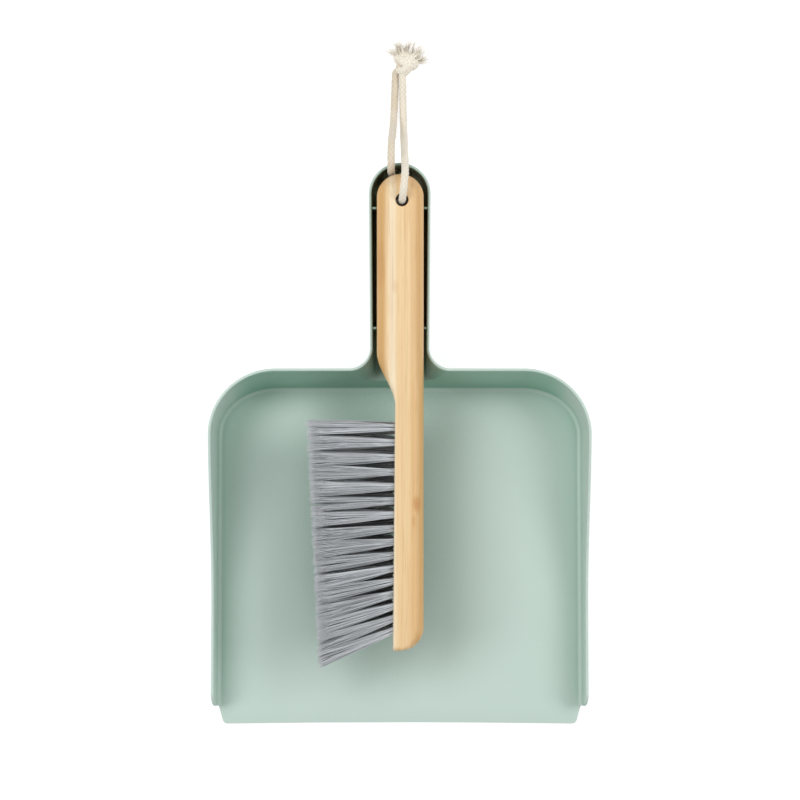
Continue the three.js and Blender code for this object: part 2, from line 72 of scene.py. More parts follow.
# Pan: the tray.
LIP_Y = PAN_LOW.y
HANDLE_END_Y = PAN_HIGH.y
RIM_Z = PAN_HIGH.z
TRAY_LENGTH = 0.2126
TRAY_WIDTH = 0.2244
FRONT_FLARE = 0.0009
BACK_HOLLOW = 0.0009
SIDE_HEIGHT = 0.0225
WALL = 0.0017
FLOOR = 0.0024
SIDE_LEAN = math.radians(3)
BACK_LEAN = math.radians(12.9)
CORNER_RADIUS = 0.0395
INNER_FOOT_RADIUS = 0.0025
OUTER_FOOT_RADIUS = 0.003
LIP_LENGTH = 0.011
LIP_INSET = 0.0007
LIP_SLANT = 0.0028
LIP_EDGE = 0.001
LIP_BOW = 0.0008
LIP_CORNER = 0.0026
NOSE_LENGTH = 0.009
LIP_ROUNDING = 0.35  # rounding of the lip's edges, as a share of the rim's
THIN_EDGE = 0.0005
LOW_EDGE_Z = 0.003  # edges lower than this, at the front, belong to the lip
MOUTH_REACH = 0.005
MOUTH_STRAIGHT = 0.011
SWOOP_LENGTH = 0.125
SWOOP_PULL = 0.4

# Pan: the handle, a channel that is open at the top.
HANDLE_WIDTH = 0.0345
HANDLE_END_WIDTH = 0.036
HANDLE_HEIGHT = 0.025
HANDLE_LEAN = math.radians(1.2)
HANDLE_FOOT_RADIUS = 0.005
FLARE_RADIUS = 0.013
FLARE_TIGHTENING = 0.62  # share by which the flares inside the channel are tighter at the handle's bottom
RIB_THICKNESS = 0.0015
RIB_DROP = 0.0008
END_RIB_FROM_END = 0.0264
TRAY_RIB_FROM_RIM = 0.0234

# Brush.
GRIP_ROUND = 0.0095
HEAD_WIDTH_AT_HEEL = 0.0166
HEAD_WIDTH_AT_TOE = 0.0178
HEAD_ROUND = 0.007
FACE_ROUND = 0.0012
TOE_CORNER = 0.0135
TOE_ROUND = 0.003
SHOULDER_PAST_RIM = 0.0089
SHOULDER_LENGTH = 0.031
CORD_HOLE_DIAMETER = 0.0068
CORD_HOLE_FROM_END = 0.0158
CORD_HOLE_OFFSET = 0.001
FIT = 0.0003

# Tufts.
TUFTS_IN_ROW = 16
ROW_NAMES = ("low", "middle", "top")
ROW_PITCH = 0.0064
ROW_PITCH_AT_TIPS = 0.0074
HEEL_TUFT_FROM_SHOULDER = 0.0125
HEEL_PITCH = 0.00875
TOE_PITCH = 0.00695
TIP_PITCH = 0.00905
TIP_LEAD = 0.0006
BRISTLE_LENGTH_AT_HEEL = 0.0508
BRISTLE_LENGTH_AT_TOE = 0.0432
HOLE_DEPTH = 0.011
ROOT_RADIUS = 0.0021
CLUMPS = 9  # places in a tuft's tip to which its fibres lean
FOLD_FROM_BOTTOM = 0.003
ANCHOR_FROM_BOTTOM = 0.0028
ANCHOR_WIRE = 0.0003
ANCHOR_HALF_WIDTH = 0.0021
ANCHOR_HEIGHT = 0.0016
ANCHOR_SAG = 0.0004

# Tufts, row by row: low, middle and top.
TIP_WIDTHS = (1.3, 1.2, 1.1)  # as shares of the room that each has
TIP_LEANS = (0.0004, 0.0009, 0.00035)  # how unevenly whole tufts lean
FIRST_STEPS = (2.4, 1.6, 1.6)  # how much closer together a fibre's points are near its root
OPENINGS = ((0.08, 0.2), (0.9, 1.4), (1.25, 1.8))  # how late a fibre spreads, from least to most
# Painted shade of each row: the lower rows darker, as in the top row's shadow, and the top row lighter.
ROW_SHADES = (-0.52, -0.28, 0.07)  # how much darker or lighter than the rest

# Places that several pieces share.
TRAY_BACK_Y = LIP_Y + TRAY_LENGTH
MOUTH_Y = TRAY_BACK_Y - 0.0034  # where the channel's bottom opens into the tray
WALL_FRONT_Y = LIP_Y + LIP_LENGTH
CORNER_X = TRAY_WIDTH / 2 - CORNER_RADIUS
CORNER_Y = TRAY_BACK_Y - CORNER_RADIUS
HANDLE_BOTTOM_Z = RIM_Z - HANDLE_HEIGHT
BRUSH_Z = (BRUSH_LOW.z + BRUSH_HIGH.z) / 2
BRUSH_THICKNESS = BRUSH_HIGH.z - BRUSH_LOW.z
BRUSH_END_Y = BRUSH_HIGH.y
TOE_Y = BRUSH_LOW.y
GRIP_WIDTH = BRUSH_HIGH.x - BRUSH_LOW.x
SHOULDER_Y = TRAY_BACK_Y + SHOULDER_PAST_RIM
HEEL_Y = SHOULDER_Y - SHOULDER_LENGTH
CORD_HOLE_X = (BRUSH_LOW.x + BRUSH_HIGH.x) / 2 + CORD_HOLE_OFFSET
CORD_HOLE_Y = BRUSH_END_Y - CORD_HOLE_FROM_END
PAST = 0.005  # how far a cutting body runs past what it cuts

# Cord: both strands start in the middle of the cord's hole. The front one leaves it upwards, and the rear
# one downwards, under the brush and up through the gap at its end. Both then hang over the handle's end.
CORD_DIAMETER = 0.0044
FRONT_LENGTH = 0.126
REAR_LENGTH = 0.142
FRONT_STRAND = (
    (CORD_HOLE_X, CORD_HOLE_Y - 0.0004, BRUSH_Z + FIT / 2),
    (CORD_HOLE_X, CORD_HOLE_Y - 0.0004, 0.052),
    (CORD_HOLE_X, CORD_HOLE_Y - 0.0004, 0.0555),
    (0.0016, 0.1443, 0.06), (0.002, 0.1476, 0.0632), (0.0025, 0.152, 0.0644),
    (0.0029, 0.1564, 0.0632), (0.0031, 0.1595, 0.0603), (0.0031, 0.164, 0.0534),
    (0.003, 0.1684, 0.0465), (0.0028, 0.1729, 0.0388), (0.0027, 0.1766, 0.031),
    (0.0026, 0.1796, 0.0234), (0.0025, 0.1827, 0.0158), (0.0024, 0.1867, 0.0092),
    (0.0023, 0.1918, 0.0048), (0.0021, 0.1986, 0.0028), (0.0019, 0.206, 0.0029),
    (0.0018, 0.214, 0.004), (0.0017, 0.2224, 0.0053),
)
REAR_STRAND = (
    (CORD_HOLE_X, CORD_HOLE_Y, BRUSH_Z - FIT / 2),
    (CORD_HOLE_X, CORD_HOLE_Y, 0.043),
    (CORD_HOLE_X, CORD_HOLE_Y, 0.0385),
    (0.0009, 0.1447, 0.0338), (-0.0003, 0.1479, 0.0304), (-0.0018, 0.1523, 0.0291),
    (-0.0034, 0.1567, 0.0304), (-0.0046, 0.1599, 0.0338), (-0.005, 0.161, 0.0385),
    (-0.005, 0.161, 0.044), (-0.005, 0.1622, 0.0485), (-0.005, 0.1655, 0.0518),
    (-0.005, 0.17, 0.053), (-0.0049, 0.1745, 0.0518), (-0.0048, 0.1778, 0.0485),
    (-0.0047, 0.1804, 0.0418), (-0.0045, 0.1826, 0.0344), (-0.0044, 0.1846, 0.0268),
    (-0.0042, 0.1869, 0.0194), (-0.004, 0.1901, 0.0126), (-0.0037, 0.1949, 0.0072),
    (-0.0034, 0.2012, 0.0038), (-0.0031, 0.2086, 0.0026), (-0.0028, 0.216, 0.0027),
    (-0.0026, 0.2232, 0.0031),
)
# Painted shade along the front and rear strands.
STRAND_SHADES = (0.25, 1.0)  # front and rear
HAIR_REST = 0.0002  # height of the hairs that lie on the floor
FRAY_THICKNESS = 0.00014
FRAY_ANGLES = {"cord_end_1": (80, 142), "cord_end_2": (0, 66)}

# Bamboo: its strips from side to side, and the bands where its joints cross them.
STRIPS_REACH = 0.016
STRIPS = (
    (-0.0160, "amber"), (-0.0098, "amber"), (-0.0084, "toasted"), (-0.0068, "honey"), (-0.0054, "pale"),
    (-0.0030, "pale"), (-0.0014, "honey"), (0.0054, "honey"), (0.0072, "toasted"), (0.0160, "amber"),
)
NODE_BANDS = (  # X, Y, half width, half length, depth of colour
    (0.0098, -0.0325, 0.0031, 0.0072, 0.75),
    (0.0082, -0.0425, 0.0015, 0.0055, 0.4),
    (-0.0112, 0.1057, 0.0036, 0.0180, 0.4),
    (0.0105, -0.1110, 0.0030, 0.0050, 0.22),
    (-0.0030, 0.0930, 0.0028, 0.0050, 0.16),
)

# How far away another surface still takes light from a place, for the painted shade and shadows.
CORNER_REACH = 0.035  # the pan's walls
COVER_REACH = 0.065  # the brush over the pan
TOUCH_REACH = 0.012  # the brush where it nearly touches the pan
FOLD_REACH = 0.004  # the cord

# Resolution.
CORNER_STEPS = 36
END_STEPS = 48
FLARE_STEPS = 20
FOOT_STEPS = 6
SWOOP_STEPS = 40
NOSE_STEPS = 10
SECTION_STEPS = 8
DRILL_SIDES = 40
TUFT_HOLE_SIDES = 20
FIBRE_SIDES = 5
BRAID_SIDES = 60
BRAID_STRANDS = 5  # that wind each way
SAME_POINT = 0.00008  # vertices closer than this are one, before their edges are rounded
FLAT_ANGLE = math.radians(0.35)  # faces closer than this are one
SHARP_ANGLE = math.radians(28)  # corners sharper than this are rounded
CREASE_ANGLE = math.radians(50)  # corners that are not rounded and are sharper than this stay crisp
SHORTEST_EDGE = 0.0004  # of those that are rounded


# ---- Settings ----

def colour(text):
    """A hexadecimal colour as the linear red, green and blue that materials take."""
    parts = [int(text[i:i + 2], 16) / 255 for i in (0, 2, 4)]
    return tuple(p / 12.92 if p <= 0.04045 else ((p + 0.055) / 1.055) ** 2.4 for p in parts)


def colour_setting(name, description, text):
    return FloatVectorProperty(
        name=name, description=description, subtype="COLOR", size=3, min=0, max=1, default=colour(text),
    )


def length_setting(name, description, default):
    return FloatProperty(
        name=name, description=description, unit="LENGTH", subtype="DISTANCE", min=0, precision=5,
        default=default,
    )


class PanSettings(bpy.types.PropertyGroup):
    plastic: colour_setting("Plastic", "Colour of the moulded pan", "c2d3cb")
    # Painted shadow on the plastic under the brush.
    brush_shadow: colour_setting("Painted brush shadow", "Painted shadow on the plastic close under the brush", "5f8574")
    # Painted shade in narrow gaps, browned as a painted reflection of the bamboo.
    gap: colour_setting("Painted gap shade", "Painted shade of the plastic in narrow gaps, browned like a reflection of the bamboo", "8a8062")
    # Painted shade in the plastic's own corners and on its back wall.
    corner_shade: colour_setting("Painted corner shade", "Painted shade of the plastic in its corners", "88bba4")
    rim_round: length_setting("Rim round", "Radius along the rims of the moulding", 0.00075)
    roughness: FloatProperty(
        name="Roughness", description="How matt the plastic is", subtype="FACTOR",
        min=0, max=1, default=0.46,
    )


class BlockSettings(bpy.types.PropertyGroup):
    pale: colour_setting("Pale strips", "Colour of the palest bamboo strips", "f4dfbf")
    honey: colour_setting("Honey strips", "Colour of most bamboo strips", "eccb9d")
    toasted: colour_setting("Toasted strips", "Colour of the darker bamboo strips", "ddb582")
    amber: colour_setting("Amber strips", "Colour of the outermost bamboo strips", "d6a768")
    mouth_round: length_setting("Hole round", "Radius at the mouth of the cord's hole", 0.0006)


class TuftSettings(bpy.types.PropertyGroup):
    fibres: IntProperty(
        name="Fibres", description="Folded fibres in each tuft, with two ends each",
        min=8, max=90, default=58,
    )
    thickness: length_setting("Fibre thickness", "Diameter of a bristle", 0.0003)
    light: colour_setting("Light fibres", "Colour of the lightest bristles", "dfe1e5")
    dark: colour_setting("Dark fibres", "Colour of the darkest bristles", "595b5f")


class CordSettings(bpy.types.PropertyGroup):
    pitch: length_setting("Pitch", "Length of cord from one crossing of the braid to the next", 0.0029)
    cotton: colour_setting("Cotton", "Colour of the cotton", "f6eee1")
    hairs: IntProperty(
        name="Hairs", description="Loose fibre ends along each strand", min=0, max=600, default=220,
    )


class StageSettings(bpy.types.PropertyGroup):
    floor: colour_setting("Floor", "Colour of the floor", "979797")
    camera_height: length_setting("Camera height", "Height of the camera above the floor", 1.6)
    sky: FloatProperty(name="Sky", description="Strength of the light from all round", min=0, default=0.38)
    left: FloatProperty(name="Left softbox", description="Power of it", unit="POWER", min=0, default=16.0)
    right: FloatProperty(name="Right softbox", description="Power of it", unit="POWER", min=0, default=16.2)


# ---- Meshes ----

def smoothstep(value, low, high):
    share = np.clip((value - low) / (high - low), 0, 1)
    return share * share * (3 - 2 * share)


def unit(vectors):
    return vectors / np.linalg.norm(vectors, axis=-1, keepdims=True)


def arc(centre, radii, start, end, steps):
    """Points of an ellipse from one angle to another, in degrees."""
    angles = np.radians(np.linspace(start, end, steps + 1))
    return [(centre[0] + radii[0] * math.cos(a), centre[1] + radii[1] * math.sin(a)) for a in angles]


def bezier(points, steps):
    a, b, c, d = (np.array(p) for p in points)
    shares = np.linspace(0, 1, steps + 1)
    return [
        tuple(a * (1 - t) ** 3 + 3 * b * t * (1 - t) ** 2 + 3 * c * t * t * (1 - t) + d * t ** 3)
        for t in shares
    ]


def new_object(name, data):
    made = bpy.data.objects.new(name, data)
    bpy.context.scene.collection.objects.link(made)
    return made


def add_object(name, points, faces):
    mesh = bpy.data.meshes.new(name)
    mesh.from_pydata(np.asarray(points).tolist(), [], faces)
    mesh.update()
    return new_object(name, mesh)


@contextmanager
def reworked(mesh, *sources):
    """Opens the faces of one or more meshes for changes, and puts them in a mesh afterwards."""
    work = bmesh.new()
    for source in sources or (mesh,):
        work.from_mesh(source)
    yield work
    work.to_mesh(mesh)
    work.free()


def ring_faces(rings, count, first=0):
    """Quads between rings of equally many points, and a lid at each end."""
    ring, side = np.meshgrid(np.arange(rings - 1), np.arange(count), indexing="ij")
    after = (side + 1) % count
    quads = np.stack([
        ring * count + side, ring * count + after,
        (ring + 1) * count + after, (ring + 1) * count + side,
    ], axis=-1).reshape(-1, 4) + first
    last = first + (rings - 1) * count
    lids = [list(range(first + count - 1, first - 1, -1)), list(range(last, last + count))]
    return quads.tolist() + lids


def loft(name, rings):
    """A closed body through rings of equally many points."""
    points = np.concatenate([np.array(ring) for ring in rings])
    piece = add_object(name, points, ring_faces(len(rings), len(rings[0])))
    with reworked(piece.data) as work:
        bmesh.ops.remove_doubles(work, verts=work.verts, dist=1e-6)
        bmesh.ops.recalc_face_normals(work, faces=work.faces)
    return piece


def settle(piece):
    """Puts the result of a piece's modifiers into its mesh."""
    shown = piece.evaluated_get(bpy.context.evaluated_depsgraph_get())
    mesh = bpy.data.meshes.new_from_object(shown)
    piece.modifiers.clear()
    old = piece.data
    piece.data = mesh
    bpy.data.meshes.remove(old)
    mesh.name = piece.name
    return piece


def combine(piece, operation, tool):
    """Adds, cuts away or keeps only what is inside another body, which is used up."""
    step = piece.modifiers.new(operation, "BOOLEAN")
    step.operation = operation
    step.solver = "MANIFOLD"
    step.object = tool
    settle(piece)
    bpy.data.meshes.remove(tool.data)
    return piece


def weigh_normals(piece):
    """Keeps large faces flat in their shading, so that only the rounded edges turn."""
    piece.data.shade_smooth()
    piece.data.set_sharp_from_angle(angle=CREASE_ANGLE)
    step = piece.modifiers.new("Weighted normals", "WEIGHTED_NORMAL")
    step.mode = "FACE_AREA_WITH_ANGLE"
    step.keep_sharp = True
    return settle(piece)


def shorten(work, shortest):
    """Joins the ends of the short edges along sharp corners, so that a rounding follows them evenly."""
    taken = set()
    short = []
    for edge in work.edges:
        sharp = edge.is_manifold and edge.calc_face_angle() > SHARP_ANGLE
        if sharp and edge.calc_length() < shortest and not taken.intersection(edge.verts):
            taken.update(edge.verts)
            short.append(edge)
    bmesh.ops.collapse(work, edges=short)


def round_edges(piece, radius, share, segments=3, shortest=0.0):
    """Rounds outer edges by the share of the radius that a function gives each, and joins what is flat."""
    with reworked(piece.data) as work:
        bmesh.ops.remove_doubles(work, verts=work.verts, dist=SAME_POINT)
        bmesh.ops.dissolve_degenerate(work, edges=work.edges, dist=SAME_POINT / 4)
        bmesh.ops.dissolve_limit(
            work, angle_limit=FLAT_ANGLE, verts=work.verts, edges=work.edges, delimit=set(),
        )
        for _ in range(3):
            shorten(work, shortest)
        bmesh.ops.dissolve_degenerate(work, edges=work.edges, dist=SAME_POINT / 4)
        weights = work.edges.layers.float.new("bevel_weight_edge")
        for edge in work.edges:
            sharp = edge.is_manifold and edge.calc_face_angle_signed() > SHARP_ANGLE
            edge[weights] = share(edge) if sharp else 0
    step = piece.modifiers.new("Rounded edges", "BEVEL")
    step.limit_method = "WEIGHT"
    step.offset_type = "OFFSET"
    step.width = radius
    step.segments = segments
    step.use_clamp_overlap = False
    step.loop_slide = False
    settle(piece)
    with reworked(piece.data) as work:
        bmesh.ops.remove_doubles(work, verts=work.verts, dist=SAME_POINT / 16)
    return piece


def across_paths(paths, start):
    """Two directions across each path at each of its points, which turn no more than the path does."""
    along = unit(np.gradient(paths, axis=-2))
    side = np.empty_like(paths)
    side[..., 0, :] = unit(np.cross(along[..., 0, :], start))
    for i in range(1, paths.shape[-2]):
        last, ahead = side[..., i - 1, :], along[..., i, :]
        side[..., i, :] = unit(last - np.sum(last * ahead, axis=-1, keepdims=True) * ahead)
    return side, np.cross(along, side)


def tubes(paths, radii, sides):
    """Points and faces of many thin tubes: paths is tube by ring by 3, and radii tube by ring."""
    count, rings, _ = paths.shape
    side, up = across_paths(paths, [0.31, 0.17, 0.93])
    angles = np.arange(sides) / sides * 2 * math.pi
    spread = np.cos(angles)[:, None] * side[:, :, None] + np.sin(angles)[:, None] * up[:, :, None]
    points = paths[:, :, None] + np.broadcast_to(radii, (count, rings))[:, :, None, None] * spread
    faces = []
    for tube in range(count):
        faces += ring_faces(rings, sides, tube * rings * sides)
    return points.reshape(-1, 3), faces


def set_values(piece, name, values):
    """Stores one number per point, which the materials read by its name."""
    layer = piece.data.attributes.new(name, "FLOAT", "POINT")
    layer.data.foreach_set("value", np.asarray(values, np.float32))


def add_fibres(name, paths, radii, sides, **values):
    """Thin tubes as one piece; radii and the values that the materials read are given tube by ring."""
    piece = add_object(name, *tubes(paths, radii, sides))
    for title, value in values.items():
        set_values(piece, title, np.repeat(np.broadcast_to(value, paths.shape[:2]), sides))
    piece.data.shade_smooth()
    return piece


def travelled_along(points):
    """How far along a path each of its points is."""
    return np.concatenate([[0], np.cumsum(np.linalg.norm(np.diff(points, axis=0), axis=1))])


def pass_over(t, low, high, a, b):
    """From a to b, as t goes from low to high."""
    return (high - t) / (high - low) * a + (t - low) / (high - low) * b


def along_curve(points, spacing):
    """Points at even steps along a smooth curve through the given ones."""
    given = np.array(points, float)
    given = np.vstack([2 * given[0] - given[1], given, 2 * given[-1] - given[-2]])
    fine = []
    for p0, p1, p2, p3 in zip(given, given[1:], given[2:], given[3:]):
        t1 = np.linalg.norm(p1 - p0) ** 0.5
        t2 = t1 + np.linalg.norm(p2 - p1) ** 0.5
        t3 = t2 + np.linalg.norm(p3 - p2) ** 0.5
        t = np.linspace(t1, t2, 24, endpoint=False)[:, None]
        a1, a2 = pass_over(t, 0, t1, p0, p1), pass_over(t, t1, t2, p1, p2)
        a3 = pass_over(t, t2, t3, p2, p3)
        b1, b2 = pass_over(t, 0, t2, a1, a2), pass_over(t, t1, t3, a2, a3)
        fine.append(pass_over(t, t1, t2, b1, b2))
    fine = np.vstack([*fine, given[-2]])
    travelled = travelled_along(fine)
    stops = np.linspace(0, travelled[-1], max(2, round(travelled[-1] / spacing) + 1))
    return np.stack([np.interp(stops, travelled, fine[:, axis]) for axis in range(3)], axis=1)


# ---- Materials ----

def node(tree, kind, inputs=None, **settings):
    """Adds a node; an input is a number, a colour, or another node's output."""
    made = tree.nodes.new(kind)
    for name, value in settings.items():
        setattr(made, name, value)
    for name, value in (inputs or {}).items():
        if isinstance(value, bpy.types.NodeSocket):
            tree.links.new(value, made.inputs[name])
        else:
            made.inputs[name].default_value = value
    return made


def calculate(tree, operation, a, b=0.0, c=0.0):
    return node(tree, "ShaderNodeMath", {0: a, 1: b, 2: c}, operation=operation).outputs[0]


def map_range(tree, value, low, high, to_low=0.0, to_high=1.0, smooth=True):
    return node(
        tree, "ShaderNodeMapRange", {0: value, 1: low, 2: high, 3: to_low, 4: to_high},
        interpolation_type="SMOOTHSTEP" if smooth else "LINEAR",
    ).outputs[0]


def opaque(rgb):
    return (*rgb, 1.0)


def mix_colours(tree, share, under, over):
    return node(tree, "ShaderNodeMix", {0: share, 6: under, 7: over}, data_type="RGBA").outputs[2]


def tint(tree, under, text, share, depth=None):
    """Lays a hexadecimal colour over another one, as strongly as a share and a depth say."""
    if depth is not None:
        share = calculate(tree, "MULTIPLY", share, depth)
    return mix_colours(tree, share, under, opaque(colour(text)))


def stretched(tree, scales=(1, 1, 1)):
    """The place on the piece in metres, drawn out by a scale along each axis."""
    place = node(tree, "ShaderNodeTexCoord").outputs["Object"]
    return node(tree, "ShaderNodeVectorMath", {0: place, 1: scales}, operation="MULTIPLY").outputs[0]


def noise(tree, place, scale, detail=2.0, roughness=0.5):
    return node(tree, "ShaderNodeTexNoise", {
        "Vector": place, "Scale": scale, "Detail": detail, "Roughness": roughness,
    }).outputs[0]


def facing_along_y(tree):
    normal = node(tree, "ShaderNodeTexCoord").outputs["Normal"]
    return node(tree, "ShaderNodeSeparateXYZ", {0: normal}).outputs["Y"]


def attribute(tree, name):
    return node(tree, "ShaderNodeAttribute", attribute_name=name).outputs["Fac"]


def reach_of_light(tree, distance, own_only=False):
    """How open a place is to the light, from 0 to 1: by everything near it, or by its own piece's shape."""
    return node(
        tree, "ShaderNodeAmbientOcclusion", {"Distance": distance}, samples=8, only_local=own_only,
    ).outputs["AO"]


def effect(name, inputs, outputs, fill):
    """The node group of a shared effect, made and filled in when it is first asked for."""
    group = bpy.data.node_groups.get(name)
    if group:
        return group
    group = bpy.data.node_groups.new(name, "ShaderNodeTree")
    for title, (kind, default) in inputs.items():
        group.interface.new_socket(title, in_out="INPUT", socket_type=kind).default_value = default
    for title, kind in outputs.items():
        group.interface.new_socket(title, in_out="OUTPUT", socket_type=kind)
    fill(group, group.nodes.new("NodeGroupInput").outputs, group.nodes.new("NodeGroupOutput").inputs)
    return group


def place_effect(tree, group, *values):
    """Places a shared effect in a material, with the values of its inputs in their order."""
    return node(tree, "ShaderNodeGroup", dict(enumerate(values)), node_tree=group).outputs


def tone_drift():
    """Slow, uneven changes of a colour, as in any dyed or grown material."""
    def fill(group, start, end):
        patches = noise(group, stretched(group), start["Scale"], 3.0, 0.55)
        swing = calculate(group, "MULTIPLY_ADD", patches, 2.0, -1.0)
        value = calculate(group, "MULTIPLY_ADD", swing, start["Amount"], 1.0)
        toned = node(group, "ShaderNodeHueSaturation", {"Color": start["Color"], "Value": value})
        group.links.new(toned.outputs[0], end["Color"])

    return effect("Tone drift", {
        "Color": ("NodeSocketColor", (0.5, 0.5, 0.5, 1)),
        "Scale": ("NodeSocketFloat", 20.0),
        "Amount": ("NodeSocketFloat", 0.05),
    }, {"Color": "NodeSocketColor"}, fill)


def fine_grain():
    """Fine relief: a height for the bump, and a mask of its low places."""
    def fill(group, start, end):
        grain = noise(group, start["Vector"], start["Scale"], 4.0, start["Coarseness"])
        group.links.new(grain, end["Height"])
        group.links.new(map_range(group, grain, 0.5, 0.3), end["Hollows"])

    return effect("Fine grain", {
        "Vector": ("NodeSocketVector", (0, 0, 0)),
        "Scale": ("NodeSocketFloat", 1000.0),
        "Coarseness": ("NodeSocketFloat", 0.5),
    }, {"Height": "NodeSocketFloat", "Hollows": "NodeSocketFloat"}, fill)


def worn_and_lit_edges():
    """A mask of outer edges, uneven along them, for edges that are lighter as wear and as a painted
    highlight.
    """
    def fill(group, start, end):
        pointed = node(group, "ShaderNodeNewGeometry").outputs["Pointiness"]
        edges = map_range(group, pointed, 0.5, calculate(group, "ADD", start["Sharpness"], 0.5))
        patches = noise(group, stretched(group), start["Scale"], 3.0)
        uneven = map_range(group, patches, 0.3, 0.6, 0.35, 1.0)
        group.links.new(calculate(group, "MULTIPLY", edges, uneven), end["Edges"])

    return effect("Worn and lit edges", {
        "Sharpness": ("NodeSocketFloat", 0.1),
        "Scale": ("NodeSocketFloat", 120.0),
    }, {"Edges": "NodeSocketFloat"}, fill)


def new_material(name, **shader_values):
    """A material and its shader; values that are the same all over are set on the shader itself."""
    material = bpy.data.materials.new(name)
    material.use_nodes = True
    tree = material.node_tree
    shader = tree.nodes["Principled BSDF"]
    for title, value in shader_values.items():
        shader.inputs[title.replace("_", " ")].default_value = value
    return material, tree, shader


def connect(tree, shader, base, rough, height, distance, strength):
    """Gives a material its colour, its roughness and its fine relief."""
    bump = node(tree, "ShaderNodeBump", {"Height": height, "Distance": distance, "Strength": strength})
    for title, output in {"Base Color": base, "Roughness": rough, "Normal": bump.outputs[0]}.items():
        tree.links.new(output, shader.inputs[title])


def pan_plastic(settings):
    """Satin moulded plastic with a fine stipple, faint sweeping scuffs, edges paler as wear and as a painted
    highlight, and painted shade in its corners and under the brush.
    """
    material, tree, shader = new_material("Pan plastic", IOR=1.49)
    base = place_effect(tree, tone_drift(), opaque(settings.plastic), 14.0, 0.025)["Color"]
    # Edges paler, as uneven wear and as a painted highlight along the rims.
    base = tint(tree, base, "d9e5df", place_effect(tree, worn_and_lit_edges(), 0.12, 90.0)["Edges"], 0.12)
    scuffed = map_range(tree, noise(tree, stretched(tree, (900, 25, 900)), 1.0, 3.0, 0.6), 0.62, 0.8)
    base = tint(tree, base, "e6eeea", scuffed, 0.06)

    # Painted shade: greener and darker in its own corners and on the wall that faces the lip.
    enclosed = map_range(tree, reach_of_light(tree, CORNER_REACH, own_only=True), 0.92, 0.3)
    back_wall_shade = map_range(tree, facing_along_y(tree), -0.65, -0.95, 0.0, 0.72)
    corner_shade_share = calculate(tree, "MINIMUM", calculate(tree, "MULTIPLY_ADD", enclosed, 0.5, back_wall_shade), 1.0)
    base = mix_colours(tree, corner_shade_share, base, opaque(settings.corner_shade))

    # Painted shadow: darker still where another piece lies over it or touches it, and painted brown shade,
    # like a reflection of the bamboo, in narrow gaps.
    clear = calculate(
        tree, "DIVIDE", reach_of_light(tree, COVER_REACH), reach_of_light(tree, COVER_REACH, own_only=True),
    )
    near_walls = calculate(tree, "MULTIPLY_ADD", enclosed, 0.9, 0.8)
    shadow_from_above = calculate(tree, "MULTIPLY", map_range(tree, clear, 0.9, 0.48, 0.0, 0.74), near_walls)
    contact_shadow = map_range(tree, reach_of_light(tree, TOUCH_REACH), 0.8, 0.4, 0.0, 0.55)
    brush_shadow = calculate(tree, "MINIMUM", calculate(tree, "MAXIMUM", shadow_from_above, contact_shadow), 0.85)
    base = mix_colours(tree, brush_shadow, base, opaque(settings.brush_shadow))
    # Painted shade in narrow gaps, browned as a painted reflection of the bamboo.
    base = mix_colours(tree, map_range(tree, clear, 0.3, 0.05), base, opaque(settings.gap))

    patches = noise(tree, stretched(tree), 35.0, 4.0, 0.6)
    rough = map_range(tree, patches, 0.3, 0.7, settings.roughness - 0.04, settings.roughness + 0.05)
    rough = calculate(tree, "MULTIPLY_ADD", scuffed, 0.08, rough)
    stipple = place_effect(tree, fine_grain(), stretched(tree), 2200.0, 0.6)["Height"]
    height = calculate(tree, "MULTIPLY_ADD", scuffed, -0.4, stipple)
    connect(tree, shader, base, rough, height, 0.00002, 0.6)
    return material


def from_middle(tree, place, middle, half):
    """The square of how far a place lies from the middle of a band, in halves of the band's width."""
    away = calculate(tree, "DIVIDE", calculate(tree, "SUBTRACT", place, middle), half)
    return calculate(tree, "POWER", away, 2.0)


